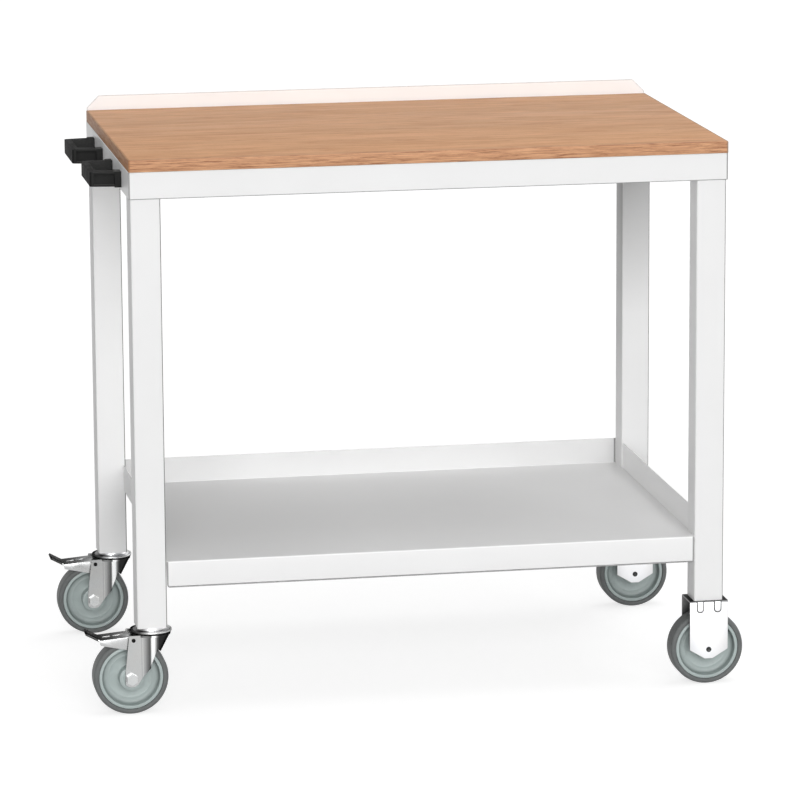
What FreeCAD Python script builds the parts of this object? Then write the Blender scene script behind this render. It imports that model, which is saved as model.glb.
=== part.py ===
import FreeCAD, Part
import math
import os

import Sketcher

# Mobile assembly table: a beech worktop on a white steel frame with a tray shelf, two bow handles,
# two braked swivel castors (left) and two fixed castors (right).
# Millimetres. Origin on the floor under the worktop's centre, +X to the right along the worktop,
# +Y to the rear, +Z up.

# Driving dimensions: (alias, millimetres or count, what it is).
DRIVING = [
    ("table_length", 1000.0, "worktop along X"),
    ("table_depth", 600.0, "worktop along Y"),
    ("table_height", 930.0, "floor to worktop surface"),
    ("top_thick", 20.0, "worktop thickness"),
    ("top_round", 1.0, "eased edge of the worktop"),
    ("rail_sheet", 2.0, "sheet of the top frame rails"),
    ("rail_height", 45.0, "height of the rails"),
    ("rail_setback", 3.0, "worktop front edge to front rail"),
    ("rear_gap", 1.0, "worktop rear edge to rear rail's inner face"),
    ("rail_top_flange", 38.0, "inward flange under the worktop"),
    ("rail_low_flange", 15.0, "inward flange at the bottom of a rail"),
    ("rail_bend", 1.6, "outside radius of a rail's bend"),
    ("upstand_rise", 25.0, "upstand above the worktop"),
    ("upstand_inset", 1.5, "end of the upstand in from the worktop's end"),
    ("upstand_corner", 21.0, "cut corner of the upstand"),
    ("upstand_foot", 43.0, "upstand plate below the worktop's underside"),
    ("leg_size", 50.0, "square leg tube"),
    ("leg_wall", 2.0, "wall of the leg tube"),
    ("leg_round", 3.0, "outside corner of the leg tube"),
    ("plate_thick", 5.0, "corner plate on top of a leg"),
    ("plate_arm", 36.0, "corner plate's ears beyond the leg"),
    ("insert_thick", 12.0, "threaded insert in a leg's foot"),
    ("insert_corner", 2.5, "corner of the threaded insert"),
    ("insert_gap", 0.1, "insert to leg wall"),
    ("plate_screw_radius", 3.0, "leg plate screw"),
    ("plate_screw_head", 5.5, "leg plate screw head radius"),
    ("plate_screw_head_high", 4.0, "leg plate screw head height"),
    ("plate_screw_bite", 13.0, "leg plate screw into the worktop"),
    ("plate_screw_out", 18.0, "leg plate screw beyond the leg's face"),
    ("top_screw_radius", 2.0, "worktop screw"),
    ("top_screw_head", 4.0, "worktop screw head radius"),
    ("top_screw_head_high", 2.5, "worktop screw head height"),
    ("top_screw_bite", 13.0, "worktop screw into the worktop"),
    ("top_screw_pitch", 250.0, "worktop screws along a rail"),
    ("pilot_gap", 0.05, "screw to its thread hole"),
    ("pilot_extra", 1.0, "thread hole deeper than its screw"),
    ("pass_gap", 0.4, "screw to the sheet it passes"),
    ("shelf_level", 259.3, "shelf surface above the floor"),
    ("shelf_sheet", 1.5, "sheet of the shelf tray"),
    ("shelf_lip", 45.0, "shelf lips, up and down"),
    ("shelf_return", 12.0, "return under the front flange"),
    ("shelf_lip_out", 2.5, "a side lip's inner face beyond the legs' inner faces"),
    ("shelf_bend", 1.2, "outside radius of the shelf's bends"),
    ("handle_length", 129.0, "bow handle along Y"),
    ("handle_reach", 51.0, "bow handle out of the rail"),
    ("handle_height", 24.0, "bow handle's height"),
    ("handle_drop", 25.5, "bow handle's middle below the worktop's underside"),
    ("handle_pitch", 258.0, "between the two handles"),
    ("handle_grip", 11.5, "thickness of the grip bar"),
    ("handle_arm", 24.0, "width of a handle arm"),
    ("handle_foot", 11.0, "thickness of a handle's foot"),
    ("handle_foot_extra", 1.3, "foot's overhang, top and bottom"),
    ("handle_round", 5.0, "outer corners of a handle"),
    ("handle_rim", 3.2, "rim round an arm's recess"),
    ("handle_recess", 6.0, "depth of an arm's recess"),
    ("handle_recess_end", 7.0, "recess to the grip's front"),
    ("handle_screw_radius", 3.0, "handle screw"),
    ("handle_screw_head", 5.0, "handle screw head radius"),
    ("handle_screw_head_high", 3.0, "handle screw head height"),
    ("handle_screw_bite", 18.0, "handle screw into the handle"),
    ("wheel_radius", 62.5, "castor wheel"),
    ("tyre_width", 36.0, "tyre"),
    ("tyre_round", 5.5, "tyre shoulder"),
    ("tyre_side", 0.75, "flat of the tyre's side below its shoulder"),
    ("tyre_thick", 9.0, "tyre over the core"),
    ("rim_wall", 5.8, "the core's rim ring"),
    ("rim_inset", 1.5, "the core's rim in from the tyre's side"),
    ("disc_thick", 9.0, "disc of the core"),
    ("hub_radius", 20.0, "hub of the core"),
    ("hub_gap", 0.8, "hub to fork cheek"),
    ("bond_gap", 0.05, "tyre to core"),
    ("sleeve_radius", 7.5, "axle sleeve, outside"),
    ("running_gap", 0.06, "hub to sleeve, kingpin to crown, lever to pin"),
    ("axle_radius", 5.0, "axle bolt"),
    ("axle_head_flats", 17.0, "axle bolt head and nut across flats"),
    ("axle_head_high", 6.4, "axle bolt head"),
    ("axle_nut_high", 8.0, "axle nut"),
    ("axle_tail", 2.0, "axle bolt past the nut"),
    ("axle_gap", 0.1, "axle to sleeve and cheek"),
    ("castor_trail", 35.5, "swivel axis to axle"),
    ("fork_sheet", 3.0, "fork sheet"),
    ("crown_clear", 8.0, "tyre to the underside of the fork crown"),
    ("crown_radius", 33.0, "fork crown"),
    ("cheek_end", 14.0, "round end of a fork cheek"),
    ("cheek_front", 15.0, "swivel axis to where the web leaves the cheek"),
    ("cheek_back_top", 39.0, "swivel axis to the cheek's rear edge at the crown"),
    ("cheek_behind", 10.5, "axle back to the cheek's lower rear corner"),
    ("cheek_back_rise", 11.5, "axle up to the cheek's lower rear corner"),
    ("web_top", 34.0, "swivel axis to the web's nose at the crown"),
    ("web_slope", 0.53, "how far the nose runs back for each millimetre down"),
    ("web_low", 24.0, "axle up to the web's lower edge at the nose"),
    ("web_bottom", 5.0, "axle up to where the web's edge meets the cheek"),
    ("bridge_length", 12.0, "crown's bridge to the cheeks, back from the web"),
    ("tyre_clear", 2.5, "tyre to the web's arch, all round"),
    ("tyre_side_clear", 1.7, "tyre's side to the web's arch"),
    ("race_radius", 35.0, "swivel head"),
    ("race_neck", 24.0, "neck of the swivel head"),
    ("race_neck_high", 5.0, "height of the swivel head's neck"),
    ("race_thick", 4.0, "swivel head's rim"),
    ("race_gap", 2.0, "crown to swivel head"),
    ("ball_radius", 2.5, "swivel bearing ball"),
    ("ball_circle", 27.0, "circle of the balls"),
    ("ball_sink", 1.5, "ball's seat in the crown"),
    ("ball_count", 20, "balls in a swivel bearing"),
    ("ball_gap", 0.3, "balls to swivel head and to the groove's sides"),
    ("kingpin_radius", 10.0, "kingpin"),
    ("kingpin_flange", 15.0, "kingpin's rolled lower flange"),
    ("kingpin_flange_thick", 2.5, "kingpin's lower flange"),
    ("washer_thick", 3.7, "swivel thrust washer"),
    ("washer_gap", 0.3, "thrust washer to kingpin"),
    ("bolt_radius", 5.0, "castor bolt"),
    ("bolt_head", 8.0, "castor bolt head radius"),
    ("bolt_head_high", 6.0, "castor bolt head height"),
    ("bolt_gap", 0.1, "castor bolt to its holes"),
    ("lever_pin_radius", 2.5, "brake lever pin"),
    ("lever_pin_head", 3.3, "brake lever pin head radius"),
    ("lever_pin_head_high", 1.0, "brake lever pin head height"),
    ("lever_heel_gap", 0.8, "lever's raised back to the crown's edge"),
    ("lever_pin_back", 31.8, "swivel axis to brake lever pin"),
    ("lever_pin_drop", 8.0, "top of the fork crown down to the brake lever pin"),
    ("lever_tyre_gap", 2.3, "tyre's side to the brake lever's side plate"),
    ("lever_side_gap", 0.5, "brake lever's side plate to the fork cheek"),
    ("lever_sheet", 2.2, "brake lever sheet"),
    ("lever_reach", 56.5, "pin to the end of the lever's channel"),
    ("lever_drop", 4.5, "fall of the lever's back along its length"),
    ("lever_rise", 5.8, "lever's back above the pin"),
    ("lever_nose", 3.6, "lever's nose ahead of the pin"),
    ("lever_side_low", 17.0, "side plate below the pin at the fork"),
    ("lever_side_tip", 7.0, "side plate below the pin at the tip"),
    ("treadle_reach", 20.0, "treadle beyond the channel"),
    ("treadle_rise", 12.0, "treadle's rise"),
    ("treadle_width", 40.0, "treadle along the pin"),
    ("lever_slot", 13.0, "length of a slot in the lever's back"),
    ("lever_slot_width", 6.0, "width of a slot in the lever's back"),
    ("lever_slot_first", 14.0, "lever's tip to its first slot's middle"),
    ("lever_slot_pitch", 17.0, "between the two slots"),
    ("bracket_length", 66.0, "fixed bracket along X"),
    ("bracket_sheet", 3.0, "fixed bracket sheet"),
    ("bracket_bend", 3.5, "outside radius of the bracket's bends"),
    ("bracket_tip", 14.0, "flat end of a fixed cheek"),
    ("bracket_drop", 15.5, "fixed cheek below the axle"),
    ("rib_width", 11.5, "pressed rib of the fixed bracket"),
    ("rib_spread", 15.0, "pressed rib from the bracket's middle"),
    ("rib_length", 18.0, "pressed rib down from the top"),
    ("rib_proud", 1.0, "pressed rib out of the cheek"),
    ("fixed_axle_radius", 4.5, "fixed castor's axle"),
    ("spacer_radius", 11.0, "fixed castor's spacer"),
    ("spacer_length", 3.9, "fixed castor's spacer"),
    ("spacer_gap", 0.4, "spacer to hub"),
]


class Size:
    """A length that keeps its number beside the sheet expression that rules it."""

    def __init__(self, value, text):
        self.value = float(value)
        self.text = text

    def __add__(self, other):
        return Size(self.value + number(other), f"({self.text} + {text(other)})")

    def __sub__(self, other):
        return Size(self.value - number(other), f"({self.text} - {text(other)})")

    def __mul__(self, other):
        return Size(self.value * number(other), f"({self.text} * {text(other)})")

    def __truediv__(self, other):
        return Size(self.value / number(other), f"({self.text} / {text(other)})")

    def __neg__(self):
        return Size(-self.value, f"(0 - {self.text})")


class Sizes:
    """The sheet's sizes, one attribute for each alias."""


def number(size):
    return size.value if isinstance(size, Size) else float(size)


def text(size):
    return size.text if isinstance(size, Size) else repr(float(size))


def fill_sheet(document):
    """Write the driving dimensions into a spreadsheet and return them as sizes."""
    sheet = document.addObject("Spreadsheet::Sheet", "Sheet")
    sizes = Sizes()
    for row, (alias, value, meaning) in enumerate(DRIVING, start=1):
        sheet.set(f"A{row}", alias)
        sheet.set(f"B{row}", str(value))
        sheet.setAlias(f"B{row}", alias)
        sheet.set(f"C{row}", meaning)
        setattr(sizes, alias, Size(value, f"Sheet.{alias}"))
    document.recompute()
    return sizes


doc = FreeCAD.newDocument("AssemblyTable")
s = fill_sheet(doc)
nodes = {}

ZERO = Size(0, "0")
HEX_TWIST = 30
TURN = {
    "Z": FreeCAD.Rotation(),
    "X": FreeCAD.Rotation(FreeCAD.Vector(0, 1, 0), 90),
    "-X": FreeCAD.Rotation(FreeCAD.Vector(0, 1, 0), -90),
    "Y": FreeCAD.Rotation(FreeCAD.Vector(1, 0, 0), -90),
    "-Y": FreeCAD.Rotation(FreeCAD.Vector(1, 0, 0), 90),
}


# ---------------------------------------------------------------- sketches and features


def place(item, spot, direction="Z", twist=0):
    """Put an object at a spot, its own Z axis along the direction, turned about it by the twist."""
    about = FreeCAD.Rotation(FreeCAD.Vector(0, 0, 1), twist)
    item.Placement = FreeCAD.Placement(FreeCAD.Vector(), TURN[direction].multiply(about))
    for letter, size in zip("xyz", spot):
        item.setExpression(f"Placement.Base.{letter}", text(size))


def new_body(label, own_node=True):
    """An empty body; one that is only a share of a node is listed by that node."""
    body = doc.addObject("PartDesign::Body", "Body")
    body.Label = label
    if own_node:
        nodes[label] = body
    return body


def new_sketch(body, plane, level):
    """A sketch on one of the body's origin planes, shifted to the level along the axis it faces."""
    sketch = body.newObject("Sketcher::SketchObject", "Sketch")
    role = f"{plane}_Plane"
    origin_plane = next(item for item in body.Origin.OriginFeatures if item.Role == role)
    sketch.AttachmentSupport = [(origin_plane, "")]
    sketch.MapMode = "FlatFace"
    shift = -level if plane == "XZ" else level
    sketch.setExpression("AttachmentOffset.Base.z", text(shift))
    return sketch


def hold(sketch, geometry, point, spot):
    """Fix one point of a sketch by its two signed distances from the sketch's origin."""
    for kind, size in zip(("DistanceX", "DistanceY"), spot):
        constraint = Sketcher.Constraint(kind, -1, 1, geometry, point, number(size))
        index = sketch.addConstraint(constraint)
        sketch.setExpression(f"Constraints[{index}]", text(size))


def draw_polygon(sketch, corners):
    """A closed outline of straight lines whose corners follow their sizes."""
    spots = [FreeCAD.Vector(number(u), number(v), 0) for u, v in corners]
    first = sketch.GeometryCount
    for index, spot in enumerate(spots):
        following = spots[(index + 1) % len(spots)]
        sketch.addGeometry(Part.LineSegment(spot, following), False)
    for index, corner in enumerate(corners):
        before = first + (index - 1) % len(corners)
        sketch.addConstraint(Sketcher.Constraint("Coincident", before, 2, first + index, 1))
        hold(sketch, first + index, 1, corner)


def draw_circle(sketch, centre, radius):
    spot = FreeCAD.Vector(number(centre[0]), number(centre[1]), 0)
    geometry = sketch.addGeometry(Part.Circle(spot, FreeCAD.Vector(0, 0, 1), number(radius)), False)
    hold(sketch, geometry, 3, centre)
    index = sketch.addConstraint(Sketcher.Constraint("Radius", geometry, number(radius)))
    sketch.setExpression(f"Constraints[{index}]", text(radius))


def rectangle(low, high):
    """The four corners of a rectangle."""
    return [low, (high[0], low[1]), high, (low[0], high[1])]


def draw(sketch, outlines):
    """Outlines are corner lists, or (centre, radius) pairs for circles."""
    for outline in outlines:
        if len(outline) == 2:
            draw_circle(sketch, *outline)
        else:
            draw_polygon(sketch, outline)


def add(body, plane, start, length, *outlines):
    """Pad outlines from the start level along +X, +Y or +Z."""
    level = start + length if plane == "XZ" else start
    sketch = new_sketch(body, plane, level)
    draw(sketch, outlines)
    pad = body.newObject("PartDesign::Pad", "Pad")
    pad.Profile = sketch
    pad.setExpression("Length", text(length))
    return pad


def cut(body, plane, start, length, *outlines):
    """Pocket outlines from the start level along +X, +Y or +Z."""
    level = start if plane == "XZ" else start + length
    sketch = new_sketch(body, plane, level)
    draw(sketch, outlines)
    pocket = body.newObject("PartDesign::Pocket", "Pocket")
    pocket.Profile = sketch
    pocket.setExpression("Length", text(length))
    return pocket


def turn(label, profile, spot, direction="Z"):
    """A turned piece: its (radius, height) profile goes round its own Z axis."""
    body = new_body(label)
    sketch = new_sketch(body, "XZ", ZERO)
    draw(sketch, [profile])
    revolution = body.newObject("PartDesign::Revolution", "Revolution")
    revolution.Profile = sketch
    revolution.ReferenceAxis = (sketch, ["V_Axis"])
    revolution.Angle = 360
    place(body, spot, direction)
    return body


def round_edges(body, radius, wanted):
    """Fillet the body's edges that the test picks."""
    doc.recompute()
    base = body.Tip
    names = [f"Edge{i}" for i, edge in enumerate(base.Shape.Edges, start=1) if wanted(edge)]
    if not names:
        raise RuntimeError(f"{body.Label}: no edge to round")
    fillet = body.newObject("PartDesign::Fillet", "Fillet")
    fillet.Base = (base, names)
    fillet.setExpression("Radius", text(radius))


def along(edge, axis):
    """Whether a straight edge runs along an axis."""
    if edge.Curve.TypeId != "Part::GeomLine":
        return False
    return abs(getattr(edge.tangentAt(edge.FirstParameter), axis)) > 0.999


def at(edge, **spot):
    """Whether an edge's middle lies at the given coordinates."""
    middle = edge.CenterOfMass
    return all(abs(getattr(middle, axis) - number(size)) < 0.01 for axis, size in spot.items())


def stack(label, spots, stages):
    """A node of like fasteners: spots are (spot, direction), stages (radius, start, height, sides).

    A stage with sides is a prism with a corner upwards, and its radius is its size across flats.
    """
    pieces = []
    for spot, direction in spots:
        for radius, start, height, sides in stages:
            kind = "Part::Prism" if sides else "Part::Cylinder"
            piece = doc.addObject(kind, "Stage")
            if sides:
                piece.Polygon = sides
                across = radius / (2 * math.cos(math.pi / sides))
                piece.setExpression("Circumradius", text(across))
            else:
                piece.setExpression("Radius", text(radius))
            piece.setExpression("Height", text(height))
            shifted = list(spot)
            index = "XYZ".index(direction[-1])
            shifted[index] = spot[index] - start if direction[0] == "-" else spot[index] + start
            place(piece, shifted, direction, HEX_TWIST if sides else 0)
            pieces.append(piece)
    group = doc.addObject("Part::MultiFuse", "Fasteners")
    group.Label = label
    group.Shapes = pieces
    group.Refine = True
    nodes[label] = group


# ---------------------------------------------------------------- shared positions

x_end = s.table_length / 2
y_front = -s.table_depth / 2
y_rear = s.table_depth / 2
under = s.table_height - s.top_thick
rail_low = under - s.rail_height
rail_front = y_front + s.rail_setback
rail_front_in = rail_front + s.rail_sheet
rail_rear_in = y_rear + s.rear_gap
rail_rear = rail_rear_in + s.rail_sheet
rail_end_in = x_end - s.rail_sheet
flange_low = under - s.rail_sheet
flange_front = rail_front + s.rail_top_flange
flange_rear = rail_rear - s.rail_top_flange
flange_end = x_end - s.rail_top_flange

leg_x = rail_end_in - s.leg_size / 2
leg_front_y = rail_front_in + s.leg_size / 2
leg_rear_y = rail_rear_in - s.leg_size / 2
leg_in_x = leg_x - s.leg_size / 2
leg_in_front = leg_front_y + s.leg_size / 2
leg_in_rear = leg_rear_y - s.leg_size / 2
leg_top = flange_low - s.plate_thick

# Wheel, then what stands over it up to the leg's end, and what stands beside it.
axle_level = s.wheel_radius
crown_low = s.wheel_radius * 2 + s.crown_clear
crown_top = crown_low + s.fork_sheet
race_low = crown_top + s.race_gap
race_high = race_low + s.race_thick
castor_height = race_high + s.race_neck_high
lever_width = s.tyre_width + (s.lever_tyre_gap + s.lever_sheet) * 2
fork_inside = lever_width + s.lever_side_gap * 2
fork_width = fork_inside + s.fork_sheet * 2
hub_length = fork_inside - s.hub_gap * 2
bracket_inside = hub_length + (s.spacer_length + s.spacer_gap) * 2
bracket_width = bracket_inside + s.bracket_sheet * 2
handle_level = under - s.handle_drop

# Corner: (name, side of X, side of Y, leg centre X, leg centre Y).
CORNERS = [
    ("front_left", -1, -1, -leg_x, leg_front_y),
    ("rear_left", -1, 1, -leg_x, leg_rear_y),
    ("front_right", 1, -1, leg_x, leg_front_y),
    ("rear_right", 1, 1, leg_x, leg_rear_y),
]

# Screws that hold a leg plate, one in each ear, at the middle of the flange they pass.
plate_screw_spots = []
for corner_name, side_x, side_y, corner_x, corner_y in CORNERS:
    ear_x = (leg_in_x - s.plate_screw_out) * side_x
    ear_y = leg_in_front + s.plate_screw_out if side_y < 0 else leg_in_rear - s.plate_screw_out
    rail_y = (rail_front_in + flange_front) / 2 if side_y < 0 else (rail_rear_in + flange_rear) / 2
    plate_screw_spots.append((ear_x, rail_y))
    plate_screw_spots.append(((rail_end_in + flange_end) / 2 * side_x, ear_y))

top_screw_spots = [
    (s.top_screw_pitch * step, rail_y)
    for step in (-1, 0, 1)
    for rail_y in ((rail_front_in + flange_front) / 2, (rail_rear_in + flange_rear) / 2)
]

handle_centres = [("handle_front", -s.handle_pitch / 2), ("handle_rear", s.handle_pitch / 2)]
handle_screw_spots = [
    (centre + (s.handle_length / 2 - s.handle_arm / 2) * side, handle_level)
    for name, centre in handle_centres
    for side in (-1, 1)
]


# ---------------------------------------------------------------- worktop and top frame


def make_worktop():
    """The beech slab, with pilot holes from below."""
    body = new_body("worktop")
    add(body, "XY", under, s.top_thick, rectangle((-x_end, y_front), (x_end, y_rear)))
    for spots, radius, bite in (
        (plate_screw_spots, s.plate_screw_radius, s.plate_screw_bite),
        (top_screw_spots, s.top_screw_radius, s.top_screw_bite),
    ):
        depth = bite + s.pilot_extra
        cut(body, "XY", under, depth, *[(spot, radius + s.pilot_gap) for spot in spots])
    round_edges(body, s.top_round, lambda edge: at(edge, z=s.table_height))


def flange_holes(body, low, high):
    """Clearance holes in a rail's top flange for every screw inside the given rectangle."""
    for spots, radius in (
        (plate_screw_spots, s.plate_screw_radius),
        (top_screw_spots, s.top_screw_radius),
    ):
        holes = [
            (spot, radius + s.pass_gap)
            for spot in spots
            if number(low[0]) < number(spot[0]) < number(high[0])
            and number(low[1]) < number(spot[1]) < number(high[1])
        ]
        if holes:
            cut(body, "XY", flange_low, s.rail_sheet, *holes)


def rail_section(outside, inward):
    """C section of a folded rail: (across, height) corners, flanges towards the frame's inside."""
    inside = outside + s.rail_sheet * inward
    top_edge = outside + s.rail_top_flange * inward
    low_edge = outside + s.rail_low_flange * inward
    return [
        (outside, rail_low),
        (outside, under),
        (top_edge, under),
        (top_edge, flange_low),
        (inside, flange_low),
        (inside, rail_low + s.rail_sheet),
        (low_edge, rail_low + s.rail_sheet),
        (low_edge, rail_low),
    ]


def make_long_rail(label, outside, inward):
    """Front or rear rail, as long as the worktop, notched for the legs and the end rails."""
    body = new_body(label)
    inside = outside + s.rail_sheet * inward
    top_edge = outside + s.rail_top_flange * inward
    low_edge = outside + s.rail_low_flange * inward
    add(body, "YZ", -x_end, s.table_length, rail_section(outside, inward))
    near, far = (inside, top_edge) if inward > 0 else (top_edge, inside)
    low_near, low_far = (inside, low_edge) if inward > 0 else (low_edge, inside)
    cut(
        body, "XY", flange_low, s.rail_sheet,
        rectangle((-x_end, near), (-rail_end_in, far)),
        rectangle((rail_end_in, near), (x_end, far)),
    )
    cut(
        body, "XY", rail_low, s.rail_sheet,
        rectangle((-x_end, low_near), (-leg_in_x, low_far)),
        rectangle((leg_in_x, low_near), (x_end, low_far)),
    )
    flange_holes(body, (-x_end, near), (x_end, far))
    round_edges(
        body, s.rail_bend,
        lambda edge: along(edge, "x") and (at(edge, y=outside, z=under) or at(edge, y=outside, z=rail_low)),
    )


def make_end_rail(label, side):
    """Left or right rail between the long rails; the left one carries the handles."""
    body = new_body(label)
    outside = x_end * side
    low_edge = (x_end - s.rail_low_flange) * side
    inside = rail_end_in * side
    top_edge = flange_end * side
    add(body, "XZ", rail_front_in, rail_rear_in - rail_front_in, rail_section(outside, -side))
    near, far = (top_edge, inside) if side > 0 else (inside, top_edge)
    low_near, low_far = (low_edge, inside) if side > 0 else (inside, low_edge)
    cut(
        body, "XY", flange_low, s.rail_sheet,
        rectangle((near, rail_front_in), (far, flange_front)),
        rectangle((near, flange_rear), (far, rail_rear_in)),
    )
    cut(
        body, "XY", rail_low, s.rail_sheet,
        rectangle((low_near, rail_front_in), (low_far, leg_in_front)),
        rectangle((low_near, leg_in_rear), (low_far, rail_rear_in)),
    )
    flange_holes(body, (near, flange_front), (far, flange_rear))
    if side < 0:
        holes = [(spot, s.handle_screw_radius + s.pass_gap) for spot in handle_screw_spots]
        cut(body, "YZ", -x_end, s.rail_sheet, *holes)
    round_edges(
        body, s.rail_bend,
        lambda edge: along(edge, "y") and (at(edge, x=outside, z=under) or at(edge, x=outside, z=rail_low)),
    )


def make_upstand():
    """Flat plate behind the rear rail that stands up past the worktop, with cut corners."""
    body = new_body("upstand")
    end = x_end - s.upstand_inset
    top = s.table_height + s.upstand_rise
    foot = under - s.upstand_foot
    outline = [
        (-end, foot),
        (end, foot),
        (end, top - s.upstand_corner),
        (end - s.upstand_corner, top),
        (-end + s.upstand_corner, top),
        (-end, top - s.upstand_corner),
    ]
    add(body, "XZ", rail_rear, s.rail_sheet, outline)


def make_top_screws():
    plate_spots = [((x, y, leg_top), "Z") for x, y in plate_screw_spots]
    through = s.plate_thick + s.rail_sheet + s.plate_screw_bite
    stack(
        "leg_plate_screws", plate_spots,
        [
            (s.plate_screw_head, -s.plate_screw_head_high, s.plate_screw_head_high, 0),
            (s.plate_screw_radius, ZERO, through, 0),
        ],
    )
    flange_spots = [((x, y, flange_low), "Z") for x, y in top_screw_spots]
    stack(
        "worktop_screws", flange_spots,
        [
            (s.top_screw_head, -s.top_screw_head_high, s.top_screw_head_high, 0),
            (s.top_screw_radius, ZERO, s.rail_sheet + s.top_screw_bite, 0),
        ],
    )


# ---------------------------------------------------------------- legs


def make_leg(name, x, y):
    """Square tube from the castor up to the leg plate."""
    body = new_body(f"leg_{name}")
    half = s.leg_size / 2
    bore = half - s.leg_wall
    length = leg_top - castor_height
    outer = rectangle((x - half, y - half), (x + half, y + half))
    inner = rectangle((x - bore, y - bore), (x + bore, y + bore))
    add(body, "XY", castor_height, length, outer, inner)
    corners = [(x + half * a, y + half * b) for a in (-1, 1) for b in (-1, 1)]
    round_edges(
        body, s.leg_round,
        lambda edge: along(edge, "z") and any(at(edge, x=u, y=v) for u, v in corners),
    )


def make_leg_plate(name, side_x, side_y, x, y):
    """Plate on top of a leg, with an ear under each of the two rails that meet there."""
    body = new_body(f"leg_plate_{name}")
    half = s.leg_size / 2
    reach = half + s.plate_arm
    width_x = s.rail_top_flange - s.rail_sheet - half
    outline = [
        (-half, -half),
        (reach, -half),
        (reach, width_x),
        (half, width_x),
        (half, half),
        (width_x, half),
        (width_x, reach),
        (-half, reach),
    ]
    # The outline is drawn for the front left corner, and its signs follow the corner.
    placed = [(x - u * side_x, y - v * side_y) for u, v in outline]
    add(body, "XY", leg_top, s.plate_thick, placed)
    own = [spot for spot in plate_screw_spots if is_near(spot, (x, y), reach)]
    cut(body, "XY", leg_top, s.plate_thick, *[(spot, s.plate_screw_radius + s.pass_gap) for spot in own])


def is_near(spot, centre, reach):
    return all(abs(number(a) - number(b)) < number(reach) for a, b in zip(spot, centre))


def make_foot_insert(name, x, y):
    """Threaded block welded into the leg's lower end, for the castor bolt."""
    body = new_body(f"foot_insert_{name}")
    half = s.leg_size / 2 - s.leg_wall - s.insert_gap
    corner = half - s.insert_corner
    outline = [
        (x - half, y - corner),
        (x - corner, y - half),
        (x + corner, y - half),
        (x + half, y - corner),
        (x + half, y + corner),
        (x + corner, y + half),
        (x - corner, y + half),
        (x - half, y + corner),
    ]
    add(body, "XY", castor_height, s.insert_thick, outline, ((x, y), s.bolt_radius + s.bolt_gap))


# ---------------------------------------------------------------- shelf


shelf_floor = s.shelf_level - s.shelf_sheet
shelf_lip_in = leg_in_x + s.shelf_lip_out
shelf_end = shelf_lip_in + s.shelf_sheet


def make_shelf():
    """Tray floor between the legs, notched round them, with a flange folded down at the front."""
    body = new_body("shelf")
    front = rail_front_in
    rear = rail_rear_in - s.shelf_sheet
    low = s.shelf_level - s.shelf_lip
    section = [
        (front, low),
        (front, s.shelf_level),
        (rear, s.shelf_level),
        (rear, shelf_floor),
        (front + s.shelf_sheet, shelf_floor),
        (front + s.shelf_sheet, low + s.shelf_sheet),
        (front + s.shelf_return, low + s.shelf_sheet),
        (front + s.shelf_return, low),
    ]
    add(body, "YZ", -leg_in_x, leg_in_x * 2, section)
    depth = leg_in_rear - leg_in_front
    for side in (-1, 1):
        wing = rectangle((leg_in_x * side, shelf_floor), (shelf_lip_in * side, s.shelf_level))
        add(body, "XZ", leg_in_front, depth, wing)
    round_edges(
        body, s.shelf_bend,
        lambda edge: along(edge, "x") and (at(edge, y=front, z=s.shelf_level) or at(edge, y=front, z=low)),
    )


def make_shelf_lips():
    """Left, right and rear lips of the tray, along the edges of its floor."""
    top = s.shelf_level + s.shelf_lip
    depth = leg_in_rear - leg_in_front
    lips = []
    for side, label in ((-1, "lip_left"), (1, "lip_right")):
        lip = new_body(label, own_node=False)
        add(
            lip, "XZ", leg_in_front, depth,
            rectangle((shelf_lip_in * side, shelf_floor), (shelf_end * side, top)),
        )
        round_edges(
            lip, s.shelf_bend,
            lambda edge: along(edge, "y") and at(edge, x=shelf_end * side, z=shelf_floor),
        )
        lips.append(lip)
    rear = new_body("lip_rear", own_node=False)
    add(
        rear, "YZ", -leg_in_x, leg_in_x * 2,
        rectangle((rail_rear_in - s.shelf_sheet, shelf_floor), (rail_rear_in, top)),
    )
    round_edges(rear, s.shelf_bend, lambda edge: along(edge, "x") and at(edge, y=rail_rear_in, z=shelf_floor))
    lips.append(rear)
    group = doc.addObject("Part::Compound", "Lips")
    group.Label = "shelf_lips"
    group.Links = lips
    nodes[group.Label] = group


# ---------------------------------------------------------------- handles


def make_handle(label, centre):
    """Moulded bow handle on the left rail: two arms with recessed outer sides and a grip bar."""
    body = new_body(label)
    half = s.handle_length / 2
    wall = -x_end
    tip = wall - s.handle_reach
    inner = tip + s.handle_grip
    low = handle_level - s.handle_height / 2
    bow = [
        (wall, centre - half),
        (tip, centre - half),
        (tip, centre + half),
        (wall, centre + half),
        (wall, centre + half - s.handle_arm),
        (inner, centre + half - s.handle_arm),
        (inner, centre - half + s.handle_arm),
        (wall, centre - half + s.handle_arm),
    ]
    add(body, "XY", low, s.handle_height, bow)
    foot_low = low - s.handle_foot_extra
    foot_height = s.handle_height + s.handle_foot_extra * 2
    for start in (centre - half, centre + half - s.handle_arm):
        add(
            body, "XY", foot_low, foot_height,
            rectangle((wall - s.handle_foot, start), (wall, start + s.handle_arm)),
        )
    recess = rectangle(
        (tip + s.handle_recess_end, low + s.handle_rim),
        (wall - s.handle_foot, low + s.handle_height - s.handle_rim),
    )
    for start in (centre - half, centre + half - s.handle_recess):
        cut(body, "XZ", start, s.handle_recess, recess)
    spots = [spot for spot in handle_screw_spots if is_near((spot[0],), (centre,), half)]
    depth = s.handle_screw_bite + s.pilot_extra
    cut(body, "YZ", wall - depth, depth, *[(spot, s.handle_screw_radius + s.pilot_gap) for spot in spots])
    round_edges(
        body, s.handle_round,
        lambda edge: along(edge, "z")
        and (at(edge, x=tip, y=centre - half) or at(edge, x=tip, y=centre + half)),
    )


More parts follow.
